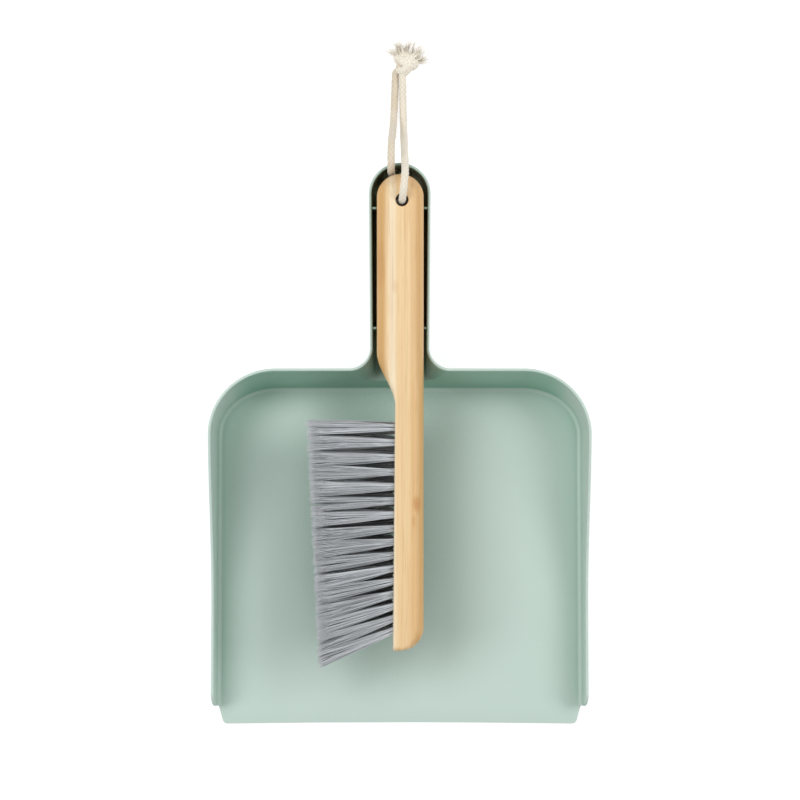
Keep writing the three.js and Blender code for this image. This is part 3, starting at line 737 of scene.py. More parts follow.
def bamboo(settings):
    """Strips of bamboo glued side by side, sanded and oiled, with fibres, node bands, end grain, painted
    shade in the cord's hole, and edges lighter as wear and as a painted highlight.
    """
    material, tree, shader = new_material("Bamboo", IOR=1.5)
    place = node(tree, "ShaderNodeTexCoord").outputs["Object"]
    axes = node(tree, "ShaderNodeSeparateXYZ", {0: place}).outputs
    wander = noise(tree, stretched(tree, (60, 9, 60)), 1.0)
    across = calculate(tree, "MULTIPLY_ADD", calculate(tree, "SUBTRACT", wander, 0.5), 0.0012, axes["X"])
    ramp = node(tree, "ShaderNodeValToRGB", {
        0: map_range(tree, across, -STRIPS_REACH, STRIPS_REACH, smooth=False),
    })
    stops = ramp.color_ramp.elements
    for x, tone in STRIPS:
        share = (x + STRIPS_REACH) / (2 * STRIPS_REACH)
        stop = stops.new(share) if 0 < share < 1 else stops[0 if share == 0 else -1]
        stop.color = opaque(getattr(settings, tone))
    lines = node(tree, "ShaderNodeTexWhiteNoise", {
        "W": calculate(tree, "FLOOR", calculate(tree, "MULTIPLY", across, 420.0)),
    }, noise_dimensions="1D").outputs["Value"]
    base = node(tree, "ShaderNodeHueSaturation", {
        "Color": ramp.outputs[0], "Value": map_range(tree, lines, 0, 1, 0.965, 1.03, smooth=False),
    }).outputs[0]

    fibres = place_effect(tree, fine_grain(), stretched(tree, (1, 0.022, 1)), 1500.0, 0.65)
    streaks = noise(tree, stretched(tree, (420, 6, 420)), 1.0, 3.0, 0.6)
    base = tint(tree, base, "cb9657", map_range(tree, streaks, 0.45, 0.75, 0.0, 0.34))
    base = tint(tree, base, "b98a50", fibres["Hollows"], 0.30)
    ragged = noise(tree, stretched(tree, (520, 70, 520)), 1.0, 3.0, 0.7)
    for x, y, width, length, depth in NODE_BANDS:
        away = calculate(
            tree, "ADD", from_middle(tree, axes["X"], x, width), from_middle(tree, axes["Y"], y, length),
        )
        mask = map_range(tree, calculate(tree, "MULTIPLY_ADD", ragged, 1.8, away), 1.9, 0.7)
        base = tint(tree, base, "c08040", mask, depth)

    at_end = map_range(tree, calculate(tree, "ABSOLUTE", facing_along_y(tree)), 0.15, 0.85, 0.0, 0.45)
    dots = map_range(tree, noise(tree, stretched(tree, (1, 0.05, 1)), 2100.0), 0.35, 0.65, 0.5, 1.0)
    base = tint(tree, base, "b3803f", at_end, dots)
    # Painted shade inside the mouth of the cord's hole.
    in_plan = node(tree, "ShaderNodeCombineXYZ", {0: axes["X"], 1: axes["Y"]}).outputs[0]
    from_hole = node(tree, "ShaderNodeVectorMath", {
        0: in_plan, 1: (CORD_HOLE_X, CORD_HOLE_Y, 0),
    }, operation="DISTANCE").outputs["Value"]
    hole_shade = map_range(tree, from_hole, CORD_HOLE_DIAMETER / 2 + 0.0007, CORD_HOLE_DIAMETER / 2 + 0.0001)
    base = tint(tree, base, "3c2613", hole_shade, 0.93)
    base = place_effect(tree, tone_drift(), base, 22.0, 0.04)["Color"]
    # Edges lighter, as wear and as a painted highlight.
    base = tint(tree, base, "f4dcb4", place_effect(tree, worn_and_lit_edges(), 0.14, 160.0)["Edges"], 0.07)

    rough = map_range(tree, fibres["Hollows"], 0.0, 1.0, 0.42, 0.62, smooth=False)
    rough = calculate(tree, "MULTIPLY_ADD", streaks, 0.08, rough)
    connect(tree, shader, base, rough, fibres["Height"], 0.00006, 0.7)
    return material


def bristle_plastic(settings):
    """Extruded bristles: each with its own grey, which also carries its row's painted shade, lighter and
    cooler at the root as a painted highlight, and softer at the split tip.
    """
    material, tree, shader = new_material("Bristles", IOR=1.5)
    tone = attribute(tree, "tone")
    along = attribute(tree, "along")
    base = mix_colours(tree, tone, opaque(settings.dark), opaque(settings.light))
    # Painted highlight: lighter and cooler near the root, on the lit fibres only.
    base = tint(tree, base, "dfe3e9", map_range(tree, along, 0.34, 0.0, 0.0, 0.6), tone)
    base = tint(tree, base, "b6b4b8", map_range(tree, along, 0.75, 1.0, 0.0, 0.35))
    base = tint(tree, base, "d6d8de", map_range(tree, along, 0.93, 1.0, 0.0, 0.55))
    base = place_effect(tree, tone_drift(), base, 260.0, 0.07)["Color"]
    drawn = place_effect(tree, fine_grain(), stretched(tree, (0.1, 1, 1)), 5200.0, 0.5)["Height"]
    connect(tree, shader, base, map_range(tree, drawn, 0.3, 0.7, 0.36, 0.56), drawn, 0.00001, 0.4)
    return material


def cotton(settings):
    """Soft spun cotton, with painted shade down between its strands, in its folds, and along each strand."""
    material, tree, shader = new_material(
        "Cotton cord", IOR=1.4, Sheen_Weight=0.35, Sheen_Roughness=0.5, Specular_IOR_Level=0.2,
    )
    # Painted shade from the depth value: down in the braid's grooves, and along each strand.
    sunk = map_range(tree, attribute(tree, "depth"), 0.0, 1.6, 0.0, 0.72, smooth=False)
    base = tint(tree, opaque(settings.cotton), "c3ae90", sunk)
    # Painted shade where the cord lies close against itself, in the knot's folds.
    folded = map_range(tree, reach_of_light(tree, FOLD_REACH), 0.65, 0.2, 0.0, 0.45)
    base = tint(tree, base, "ab9571", folded)
    spun = place_effect(tree, fine_grain(), stretched(tree), 2600.0, 0.7)
    base = tint(tree, base, "c9b596", spun["Hollows"], 0.3)
    base = place_effect(tree, tone_drift(), base, 90.0, 0.05)["Color"]
    rough = map_range(tree, spun["Height"], 0.2, 0.8, 0.98, 0.84)
    connect(tree, shader, base, rough, spun["Height"], 0.00015, 0.8)
    return material


def anchor_wire():
    """Flat drawn wire with faint lines along it."""
    material, tree, shader = new_material("Anchor wire", Metallic=1.0)
    base = place_effect(tree, tone_drift(), opaque(colour("b9b6ae")), 300.0, 0.08)["Color"]
    drawn = place_effect(tree, fine_grain(), stretched(tree, (1, 1, 0.1)), 4000.0, 0.6)["Height"]
    connect(tree, shader, base, map_range(tree, drawn, 0.3, 0.7, 0.28, 0.45), drawn, 0.00001, 0.5)
    return material


def finish_with(piece, material, body, slot=None, *nodes):
    """Gives a finished piece its material and its body, and hides the plain solids that it stands for."""
    piece.data.materials.clear()
    piece.data.materials.append(material)
    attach(piece, body)
    if nodes:
        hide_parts(*nodes)
    return piece


# ---- Pan ----

def lean_in(z, lean):
    """How far a leaning wall has come in at a height, from where it stands at the rim."""
    return (RIM_Z - z) * math.tan(lean)


def foot_levels(bottom, radius, inset):
    """Levels of a drafted body with a rounded foot: the height of each, and how far it is drawn in."""
    turns = [i / FOOT_STEPS * math.pi / 2 for i in range(FOOT_STEPS + 1)]
    levels = [(bottom + radius * (1 - math.cos(a)), inset + radius * (1 - math.sin(a))) for a in turns]
    return levels + [(RIM_Z + PAST, inset)]


def tray_outline(z, inset, front_y):
    side = TRAY_WIDTH / 2 - lean_in(z, SIDE_LEAN) - inset
    back = TRAY_BACK_Y - lean_in(z, BACK_LEAN) - inset
    front = side + FRONT_FLARE * (CORNER_Y - front_y) / (CORNER_Y - LIP_Y)
    radii = (side - CORNER_X, back - CORNER_Y)
    return [
        (-front, front_y), (front, front_y),
        *arc((CORNER_X, CORNER_Y), radii, 0, 90, CORNER_STEPS),
        *arc((-CORNER_X, CORNER_Y), radii, 90, 180, CORNER_STEPS),
    ]


def handle_outline(z, inset, tightening=0.0):
    """The handle in plan; its flares leave the back wall without a crease, and may tighten with depth."""
    half = HANDLE_WIDTH / 2 - lean_in(z, HANDLE_LEAN) - inset
    end_half = HANDLE_END_WIDTH / 2 - lean_in(z, HANDLE_LEAN) - inset
    end_y = HANDLE_END_Y - HANDLE_END_WIDTH / 2
    back = TRAY_BACK_Y - lean_in(z, BACK_LEAN) - inset - SAME_POINT
    depth = (RIM_Z - z) / HANDLE_HEIGHT
    flare = (FLARE_RADIUS + lean_in(z, HANDLE_LEAN) + inset) * (1 - tightening * depth)
    radii = (flare, flare - BACK_HOLLOW)
    root = back - FLARE_RADIUS
    return [
        (-half - flare, root), (half + flare, root),
        *arc((half + flare, back + radii[1]), radii, -90, -180, FLARE_STEPS),
        *arc((0, end_y), (end_half, end_half), 0, 180, END_STEPS),
        *arc((-half - flare, back + radii[1]), radii, 0, -90, FLARE_STEPS),
    ]


def drafted(name, outline, bottom, foot_radius, inset, *where):
    return loft(name, [
        [(x, y, z) for x, y in outline(z, drawn, *where)]
        for z, drawn in foot_levels(bottom, foot_radius, inset)
    ])


def across_tray(name, profile):
    """A side view, drawn as (Y, Z), carried across the whole width of the tray."""
    reach = TRAY_WIDTH / 2 + FRONT_FLARE + PAST
    return loft(name, [[(x, y, z) for y, z in profile] for x in (-reach, reach)])


def above_rim():
    """Everything above the line of the rim; the swoop ends halfway round the back corners."""
    swoop_y = CORNER_Y + CORNER_RADIUS / 2 - SWOOP_LENGTH
    nose_y = WALL_FRONT_Y + NOSE_LENGTH
    level = SWOOP_LENGTH * SWOOP_PULL
    swoop_end = swoop_y + SWOOP_LENGTH
    return across_tray("Above the rim", [
        (LIP_Y - PAST, FLOOR), (WALL_FRONT_Y, FLOOR),
        *arc((nose_y, FLOOR), (NOSE_LENGTH, SIDE_HEIGHT - FLOOR), 180, 90, NOSE_STEPS)[1:],
        *bezier([(swoop_y, SIDE_HEIGHT), (swoop_y + level, SIDE_HEIGHT),
                 (swoop_end - level, RIM_Z), (swoop_end, RIM_Z)], SWOOP_STEPS),
        (HANDLE_END_Y + PAST, RIM_Z), (HANDLE_END_Y + PAST, RIM_Z + 2 * PAST),
        (LIP_Y - PAST, RIM_Z + 2 * PAST),
    ])


def bowed(start, middle, end, steps):
    """A quadratic curve, without its first point."""
    a, b, c = (np.array(p) for p in (start, middle, end))
    shares = np.linspace(0, 1, steps + 1)[1:]
    return [tuple(a * (1 - t) ** 2 + 2 * b * t * (1 - t) + c * t * t) for t in shares]


def lip():
    """The floor in front of the side walls, thinner towards its edge."""
    foot = TRAY_WIDTH / 2 + FRONT_FLARE - lean_in(0, SIDE_LEAN) - WALL
    root_x = foot - LIP_INSET
    end_x = root_x - LIP_SLANT
    corner_x = end_x + LIP_SLANT * LIP_CORNER / LIP_LENGTH
    right_corner, left_corner = (corner_x, LIP_Y + LIP_CORNER), (-corner_x, LIP_Y + LIP_CORNER)
    right_front, left_front = (end_x - LIP_CORNER, LIP_Y), (-end_x + LIP_CORNER, LIP_Y)
    plan = [
        (root_x, WALL_FRONT_Y + PAST), (-root_x, WALL_FRONT_Y + PAST),
        (-root_x, WALL_FRONT_Y), left_corner,
        *bowed(left_corner, (-end_x, LIP_Y), left_front, 8),
        *bowed(left_front, (0, LIP_Y + 2 * LIP_BOW), right_front, 24),
        *bowed(right_front, (end_x, LIP_Y), right_corner, 8),
        (root_x, WALL_FRONT_Y),
    ]
    plate = loft("Lip", [[(x, y, z) for x, y in plan] for z in (0, FLOOR)])
    side = across_tray("Lip from the side", [
        (LIP_Y - PAST, 0), (WALL_FRONT_Y + 2 * PAST, 0), (WALL_FRONT_Y + 2 * PAST, FLOOR),
        (WALL_FRONT_Y, FLOOR), (LIP_Y, LIP_EDGE), (LIP_Y - PAST, LIP_EDGE),
    ])
    return combine(plate, "INTERSECT", side)


def rib(y):
    """A cross wall in the handle, hollowed for the brush that lies on it."""
    half, bottom, top = HANDLE_END_WIDTH / 2, HANDLE_BOTTOM_Z - PAST, RIM_Z - RIB_DROP
    corners = [(-half, bottom), (half, bottom), (half, top), (-half, top)]
    front, back = y - RIB_THICKNESS / 2, y + RIB_THICKNESS / 2
    plate = loft("Rib", [[(x, at, z) for x, z in corners] for at in (front, back)])
    inner = drafted("Rib outline", handle_outline, HANDLE_BOTTOM_Z, HANDLE_FOOT_RADIUS, WALL / 2)
    return combine(plate, "INTERSECT", inner)


def rounding_share(edge):
    """Rims are rounded right over, the lip less; where walls end on it and flares run out, nothing is."""
    middle = (edge.verts[0].co + edge.verts[1].co) / 2
    if middle.y < WALL_FRONT_Y + THIN_EDGE and middle.z < LOW_EDGE_Z:
        return LIP_ROUNDING if middle.y < WALL_FRONT_Y - SAME_POINT * 2 else 0
    run_out = abs(middle.y - MOUTH_Y) < MOUTH_REACH and middle.z < RIM_Z - MOUTH_REACH
    return 0 if run_out and abs(middle.x) > MOUTH_STRAIGHT else 1


def build_pan(rim_round):
    pan = drafted("pan_moulding", tray_outline, 0, OUTER_FOOT_RADIUS, 0, WALL_FRONT_Y)
    combine(pan, "UNION", drafted("Handle", handle_outline, HANDLE_BOTTOM_Z, HANDLE_FOOT_RADIUS, 0))
    inside = drafted("Inside", tray_outline, FLOOR, INNER_FOOT_RADIUS, WALL, LIP_Y - PAST)
    channel = drafted(
        "Channel", handle_outline, HANDLE_BOTTOM_Z + WALL, HANDLE_FOOT_RADIUS - WALL, WALL, FLARE_TIGHTENING,
    )
    combine(pan, "DIFFERENCE", combine(inside, "UNION", channel))
    for y in (HANDLE_END_Y - END_RIB_FROM_END, TRAY_BACK_Y + TRAY_RIB_FROM_RIM):
        combine(pan, "UNION", combine(rib(y), "DIFFERENCE", block_body("Brush in its cradle", FIT)))
    combine(pan, "DIFFERENCE", above_rim())
    combine(pan, "UNION", lip())
    round_edges(pan, rim_round, rounding_share, shortest=SHORTEST_EDGE)
    return weigh_normals(pan)


# ---- Bamboo block ----

def drawn_in(radius, distance):
    """How far a rounded end draws a side in, at a distance from the end."""
    if distance >= radius:
        return 0
    return radius - math.sqrt(max(0, radius * radius - (radius - distance) ** 2))


def face_x(y):
    """Where the head's side with the tufts stands, at y."""
    share = (HEEL_Y - y) / (HEEL_Y - TOE_Y)
    return BRUSH_HIGH.x - (HEAD_WIDTH_AT_HEEL + (HEAD_WIDTH_AT_TOE - HEAD_WIDTH_AT_HEEL) * share)


def block_outline(y, extra):
    """The block's section at y: a rectangle with a radius of its own on each side."""
    share = float(smoothstep(y, HEEL_Y, SHOULDER_Y))
    from_end, from_toe = BRUSH_END_Y - y, y - TOE_Y
    end_draw = drawn_in(GRIP_WIDTH / 2, from_end)
    left = face_x(y) + (BRUSH_LOW.x - face_x(y)) * share + end_draw - extra
    right = BRUSH_HIGH.x - end_draw - drawn_in(TOE_CORNER, from_toe) + extra
    half = BRUSH_THICKNESS / 2 - drawn_in(BRUSH_THICKNESS / 2, from_end) - drawn_in(TOE_ROUND, from_toe)
    half += extra
    most = min((right - left) / 2, half)
    left_round = min(FACE_ROUND + (GRIP_ROUND - FACE_ROUND) * share + extra, most)
    right_round = min(HEAD_ROUND + (GRIP_ROUND - HEAD_ROUND) * share + extra, most)
    return [
        *arc((right - right_round, half - right_round), (right_round,) * 2, 0, 90, SECTION_STEPS),
        *arc((left + left_round, half - left_round), (left_round,) * 2, 90, 180, SECTION_STEPS),
        *arc((left + left_round, left_round - half), (left_round,) * 2, 180, 270, SECTION_STEPS),
        *arc((right - right_round, right_round - half), (right_round,) * 2, 270, 360, SECTION_STEPS),
    ]


def block_body(name, extra):
    """Sections along the block, close together where it is rounded."""
    nose = GRIP_WIDTH / 2
    stations = [BRUSH_END_Y - nose * (1 - math.cos(t * math.pi / 2)) for t in np.linspace(0.012, 1, 26)]
    stations += list(np.linspace(BRUSH_END_Y - nose, SHOULDER_Y, 12)[1:])
    stations += list(np.linspace(SHOULDER_Y, HEEL_Y, 34)[1:])
    stations += list(np.linspace(HEEL_Y, TOE_Y + TOE_CORNER, 20)[1:])
    stations += [TOE_Y + TOE_CORNER * (1 - math.sin(t * math.pi / 2)) for t in np.linspace(0, 1, 14)[1:]]
    grown = [extra] + [0] * (len(stations) - 2) + [-extra]
    return loft(name, [
        [(x, y + more, BRUSH_Z + z) for x, z in block_outline(y, extra)] for y, more in zip(stations, grown)
    ])


def drill(name, start, end, radius, sides=DRILL_SIDES):
    """A round cutter from one point to another."""
    return add_object(name, *tubes(np.array([[start, end]], float), radius, sides))


def build_block(mouth_round):
    block = block_body("bamboo_block", 0)
    hole = (CORD_HOLE_X, CORD_HOLE_Y)
    combine(block, "DIFFERENCE", drill(
        "Cord hole", (*hole, BRUSH_LOW.z - PAST), (*hole, BRUSH_HIGH.z + PAST), CORD_HOLE_DIAMETER / 2,
    ))

    def at_mouth(edge):
        reach = CORD_HOLE_DIAMETER / 2 * 1.02
        return float(all((end.co.xy - Vector(hole)).length < reach for end in edge.verts))

    round_edges(block, mouth_round, at_mouth, segments=4)
    for row, index, _ in each_tuft():
        origin, axis, _, _, _ = tuft_frame(row, index)
        combine(block, "DIFFERENCE", drill(
            "Tuft hole", origin - axis * HOLE_DEPTH, origin + axis * (ROOT_RADIUS + PAST),
            ROOT_RADIUS + FIT, TUFT_HOLE_SIDES,
        ))
    return weigh_normals(block)


# ---- Tufts ----

def each_tuft():
    """The row of every tuft, its place in that row, and its name."""
    for row, name in enumerate(ROW_NAMES):
        for index in range(TUFTS_IN_ROW):
            yield row, index, f"{name}_{index + 1:02d}"


def tuft_line(index):
    """Where a tuft leaves its hole and where it ends, in the plane of its row."""
    steps = TUFTS_IN_ROW - 1
    along = index * HEEL_PITCH - (HEEL_PITCH - TOE_PITCH) * index * (index - 1) / (2 * (steps - 1))
    root_y = HEEL_Y - HEEL_TUFT_FROM_SHOULDER - along
    tip_y = HEEL_Y - HEEL_TUFT_FROM_SHOULDER + TIP_LEAD - index * TIP_PITCH
    length = BRISTLE_LENGTH_AT_HEEL + (BRISTLE_LENGTH_AT_TOE - BRISTLE_LENGTH_AT_HEEL) * index / steps
    return (face_x(root_y), root_y), (face_x(tip_y) - length, tip_y)


def tuft_frame(row, index):
    """A tuft's origin at the face, its axis, the two directions across it, and its length."""
    root, tip = tuft_line(index)
    level = row - (len(ROW_NAMES) - 1) / 2
    origin = np.array([*root, BRUSH_Z + level * ROW_PITCH])
    end = np.array([*tip, BRUSH_Z + level * ROW_PITCH_AT_TIPS])
    length = np.linalg.norm(end - origin)
    axis = (end - origin) / length
    across = unit(np.cross([0, 0, 1], axis))
    return origin, axis, across, np.cross(axis, across), length


def tip_turn(axis):
    """How far a tuft turns from square to the line that the tips end in."""
    (first_x, first_y), (last_x, last_y) = tuft_line(0)[1], tuft_line(TUFTS_IN_ROW - 1)[1]
    lean = math.atan2(last_x - first_x, first_y - last_y)
    return math.atan2(-axis[1], -axis[0]) - lean


def build_tuft(name, row, index, settings):
    """Folded fibres: each runs down one side of the hole, under the anchor, and up the other side."""
    chance = np.random.default_rng(1000 + 100 * row + index)
    origin, axis, across, up, length = tuft_frame(row, index)
    turn = tip_turn(axis)
    count = settings.fibres
    top_row = row == len(ROW_NAMES) - 1
    half_width = TIP_PITCH * math.cos(turn) / 2 * TIP_WIDTHS[row]
    half_depth = ROW_PITCH_AT_TIPS / 2
    lean = chance.normal(0, TIP_LEANS[row])
    if index == 0 or (index == TUFTS_IN_ROW - 1 and not top_row):
        # Nothing stands beside these, so that they spread less, and lean towards the rest.
        half_width *= 0.78
        lean += 0.0009 if index == 0 else -0.0012

    # Where each end stands in the hole, as shares of its radius, and in the spread-out tip.
    reach = np.sqrt(chance.uniform(0.02, 1, (count, 1)))
    turns = chance.uniform(-math.pi / 2, math.pi / 2, (count, 1))
    near = np.concatenate([reach * np.cos(turns) * 0.86 + 0.14, reach * np.sin(turns) * 0.9], axis=1)
    ends = np.stack([near, near * [-1, 1]], axis=1).reshape(-1, 2)
    spread = ends / np.maximum(np.abs(ends).max(axis=1, keepdims=True), 1e-6)
    square = spread * np.linalg.norm(ends, axis=1, keepdims=True)
    tips = 0.45 * ends + 0.55 * square + chance.normal(0, 0.09, ends.shape)
    clumps = chance.uniform(-0.95, 0.95, (CLUMPS, 2))
    nearest = np.argmin(np.linalg.norm(tips[:, None] - clumps[None], axis=2), axis=1)
    tips += (clumps[nearest] - tips) * chance.uniform(0.1, 0.55, (len(tips), 1))
    tips = tips * [half_width, half_depth] + [lean, 0]
    roots = ends * (ROOT_RADIUS - settings.thickness / 2)

    # Each end's line from the face to its tip: together at first, then spreading.
    shares = np.linspace(0, 1, 10)[None, :, None] ** FIRST_STEPS[row]
    opening = shares ** chance.uniform(*OPENINGS[row], (len(tips), 1, 1))
    bend = chance.normal(0, 0.0005, (len(tips), 1, 2)) * np.sin(shares * math.pi)
    places = roots[:, None] + (tips - roots)[:, None] * opening + bend
    trims = chance.normal(0, 0.0005, len(tips))
    trims += chance.choice([0, 0.0011, -0.0016], len(tips), p=[0.8, 0.1, 0.1])
    lengths = length + math.tan(turn) * tips[:, 0] + trims - 0.0004
    reaches = lengths[:, None, None] * shares
    out = origin + reaches * axis + places[..., :1] * across + places[..., 1:] * up

    # The fold: straight down the hole, then round under the anchor.
    angles = np.linspace(0, math.pi, 7)[None, :, None]
    first, second = roots[0::2, None], roots[1::2, None]
    middle, half = (first + second) / 2, (first - second) / 2
    sideways = middle + half * np.cos(angles)
    sunk = -(HOLE_DEPTH - FOLD_FROM_BOTTOM) - np.sin(angles) * (0.0009 + np.abs(half[..., :1]) * 0.8)
    fold = origin + sunk * axis + sideways[..., :1] * across + sideways[..., 1:] * up
    paths = np.concatenate([out[0::2, ::-1], fold, out[1::2]], axis=1)

    along = np.concatenate([shares[0, ::-1, 0], np.zeros(7), shares[0, :, 0]])
    thin = np.interp(along, [0, 0.8, 0.93, 1], [1, 0.95, 0.7, 0.3])
    widths = chance.uniform(0.85, 1.1, (count, 1)) * settings.thickness / 2
    tuft_tone = chance.normal(0, 0.055)
    # Painted shade of the row, less on the lower rows' first tufts near the heel.
    inner = ROW_SHADES[row] + (0 if top_row else 0.2 * max(0, 1 - index / 4))
    tones = np.clip(chance.normal(0.66, 0.18, (count, 1)) + tuft_tone + inner, 0, 1)
    return add_fibres(name, paths, widths * thin, FIBRE_SIDES, tone=tones, along=along)


def build_anchor(name, row, index):
    """A flat staple that holds the fold of a tuft at the bottom of its hole."""
    origin, axis, across, up, _ = tuft_frame(row, index)
    path = [(ANCHOR_HALF_WIDTH, ANCHOR_HEIGHT)]
    for turn in np.linspace(0, math.pi, 9):
        path.append((math.cos(turn) * ANCHOR_HALF_WIDTH, -math.sin(turn) * ANCHOR_SAG))
    path.append((-ANCHOR_HALF_WIDTH, ANCHOR_HEIGHT))
    section = (
        (-1, -0.7), (-0.7, -1), (0.7, -1), (1, -0.7), (1, 0.7), (0.7, 1), (-0.7, 1), (-1, 0.7),
    )
    rings = []
    for sideways, rise in path:
        centre = origin + axis * (-HOLE_DEPTH + ANCHOR_FROM_BOTTOM + rise) + up * sideways
        rings.append([centre + across * a * ANCHOR_WIRE + axis * b * ANCHOR_WIRE for a, b in section])
    anchor = loft(name, rings)
    anchor.data.shade_smooth()
    return anchor


# ---- Cord ----

def braid(name, centres, radii, pitch, seed, shade_share=0.0):
    """A soft braid: as many strands wind one way as the other, and each goes over and under the rest."""
    chance = np.random.default_rng(seed)
    side, up = across_paths(centres, [0.9, 0.1, 0.4])
    travelled = travelled_along(centres)
    angles = np.arange(BRAID_SIDES) / BRAID_SIDES * 2 * math.pi

    def uneven(step, draw, *values):
        """Random values at every so many points, and even changes from each to the next."""
        return np.interp(travelled, travelled[::step], draw(*values, len(travelled[::step])))

    wander = uneven(12, chance.normal, 0, 0.12)
    around = angles[None] * BRAID_STRANDS / (2 * math.pi)
    one_way = around + (travelled / pitch + wander)[:, None]
    other_way = around - (travelled / pitch - wander)[:, None]
    over = (np.floor(one_way) + np.floor(other_way)) % 2 < 1
    across = np.where(over, one_way % 1, other_way % 1) - 0.5
    length = np.where(over, other_way % 1, one_way % 1) - 0.5

    # Each strand is a dome of four yarns, which sinks where the next one crosses over it.
    dome = np.sqrt(np.maximum(1 - (across * 1.9) ** 2, 0)) * (0.55 + 0.45 * np.cos(length * math.pi))
    yarns = np.abs(np.sin(across * math.pi * 4))
    lumps = uneven(9, chance.normal, 1, 0.018)
    shape = 0.885 + 0.1 * dome + 0.018 * yarns * dome
    radius = shape * lumps[:, None] * np.broadcast_to(radii, len(centres))[:, None]
    outwards = np.cos(angles)[None, :, None] * side[:, None] + np.sin(angles)[None, :, None] * up[:, None]
    points = centres[:, None] + radius[..., None] * outwards
    cord = add_object(name, points.reshape(-1, 3), ring_faces(len(centres), BRAID_SIDES))
    # Painted shade along the strand, in patches, added to the depth value.
    shade_patches = shade_share * uneven(16, chance.uniform, 0.75, 1.25)
    set_values(cord, "depth", np.clip(1.05 - dome - 0.12 * yarns + shade_patches[:, None], 0, 1.6).ravel())
    cord.data.shade_smooth()
    return cord


def build_hairs(name, centres, count, seed):
    """Loose fibre ends that stand out from a strand."""
    chance = np.random.default_rng(seed)
    along = unit(np.gradient(centres, axis=0))
    picked = chance.integers(2, len(centres) - 2, count)
    direction = unit(np.cross(along[picked], chance.normal(0, 1, (count, 3))))
    lengths = chance.uniform(0.0008, 0.0024, (count, 1, 1))
    shares = np.linspace(0, 1, 5)[None, :, None]
    drift = unit(along[picked] * chance.choice([-1, 1], (count, 1)) + chance.normal(0, 0.5, (count, 3)))
    paths = (
        centres[picked][:, None] + direction[:, None] * CORD_DIAMETER * 0.4
        + direction[:, None] * lengths * shares * 0.6 + drift[:, None] * lengths * shares ** 1.6
    )
    paths[..., 2] = np.maximum(paths[..., 2], HAIR_REST)
    radii = np.interp(shares[0, :, 0], [0, 1], [0.00006, 0.000025])
    return add_fibres(name, paths, radii, 4, depth=0.0)


def join(name, parts):
    """One piece from several meshes that carry the same values."""
    mesh = bpy.data.meshes.new(name)
    meshes = [part.data for part in parts]
    with reworked(mesh, *meshes):
        for used in meshes:
            bpy.data.meshes.remove(used)
    return new_object(name, mesh)


def in_knot(places):
    """Points that are given from the knot's middle, as shares of half its size."""
    return KNOT_MIDDLE + np.asarray(places) * KNOT_HALF


def build_knot(name, pitch):
    """An overhand knot in both strands, pulled tight: they go in, cross over, wrap round and come out."""
    thick = CORD_DIAMETER / 2
    turns = (
        (FRONT_STRAND[-3:], ((0.1, -0.75, 0.25), (0.5, -0.1, 0.45), (0.2, 0.55, 0.3), (-0.25, 0.75, 0.0))),
        (REAR_STRAND[-3:], ((-0.55, -0.6, 0.0), (-0.35, 0.1, 0.2), (0.1, 0.5, 0.1), (0.55, 0.55, -0.1))),
    )
    parts = []
    for number, (entry, inside) in enumerate(turns):
        centres = along_curve([*entry, *in_knot(inside)], 0.00035)
        last = int(np.argmin(np.linalg.norm(centres - np.array(entry[-1]), axis=1)))
        within = np.interp(np.arange(len(centres)), [0, last * 0.8, last], [0.6, 0.6, 0.985])
        parts.append(
            braid("Into the knot", centres, within * thick, pitch, 7 + number, STRAND_SHADES[number])
        )
    around = np.linspace(0, 2 * math.pi, 150)
    wraps = ((24, -0.36, 0.26, 1.0), (-38, 0.06, -0.02, 0.94), (8, 0.34, 0.0, 0.9))
    for number, (tilt, ahead, rise, wide) in enumerate(wraps):
        tip = math.radians(tilt)
        flat_x = np.cos(around) * (0.70 * wide)
        flat_y = 0.16 * np.sin(2 * around + number) + ahead
        x = flat_x * math.cos(tip) - flat_y * math.sin(tip)
        y = flat_x * math.sin(tip) + flat_y * math.cos(tip)
        centres = in_knot(np.stack([x, y, np.sin(around) * 0.56 + rise * 0.3], axis=1))
        parts.append(braid("Wrap", centres, thick * 1.02, pitch, 17 + number))
    return join(name, parts)


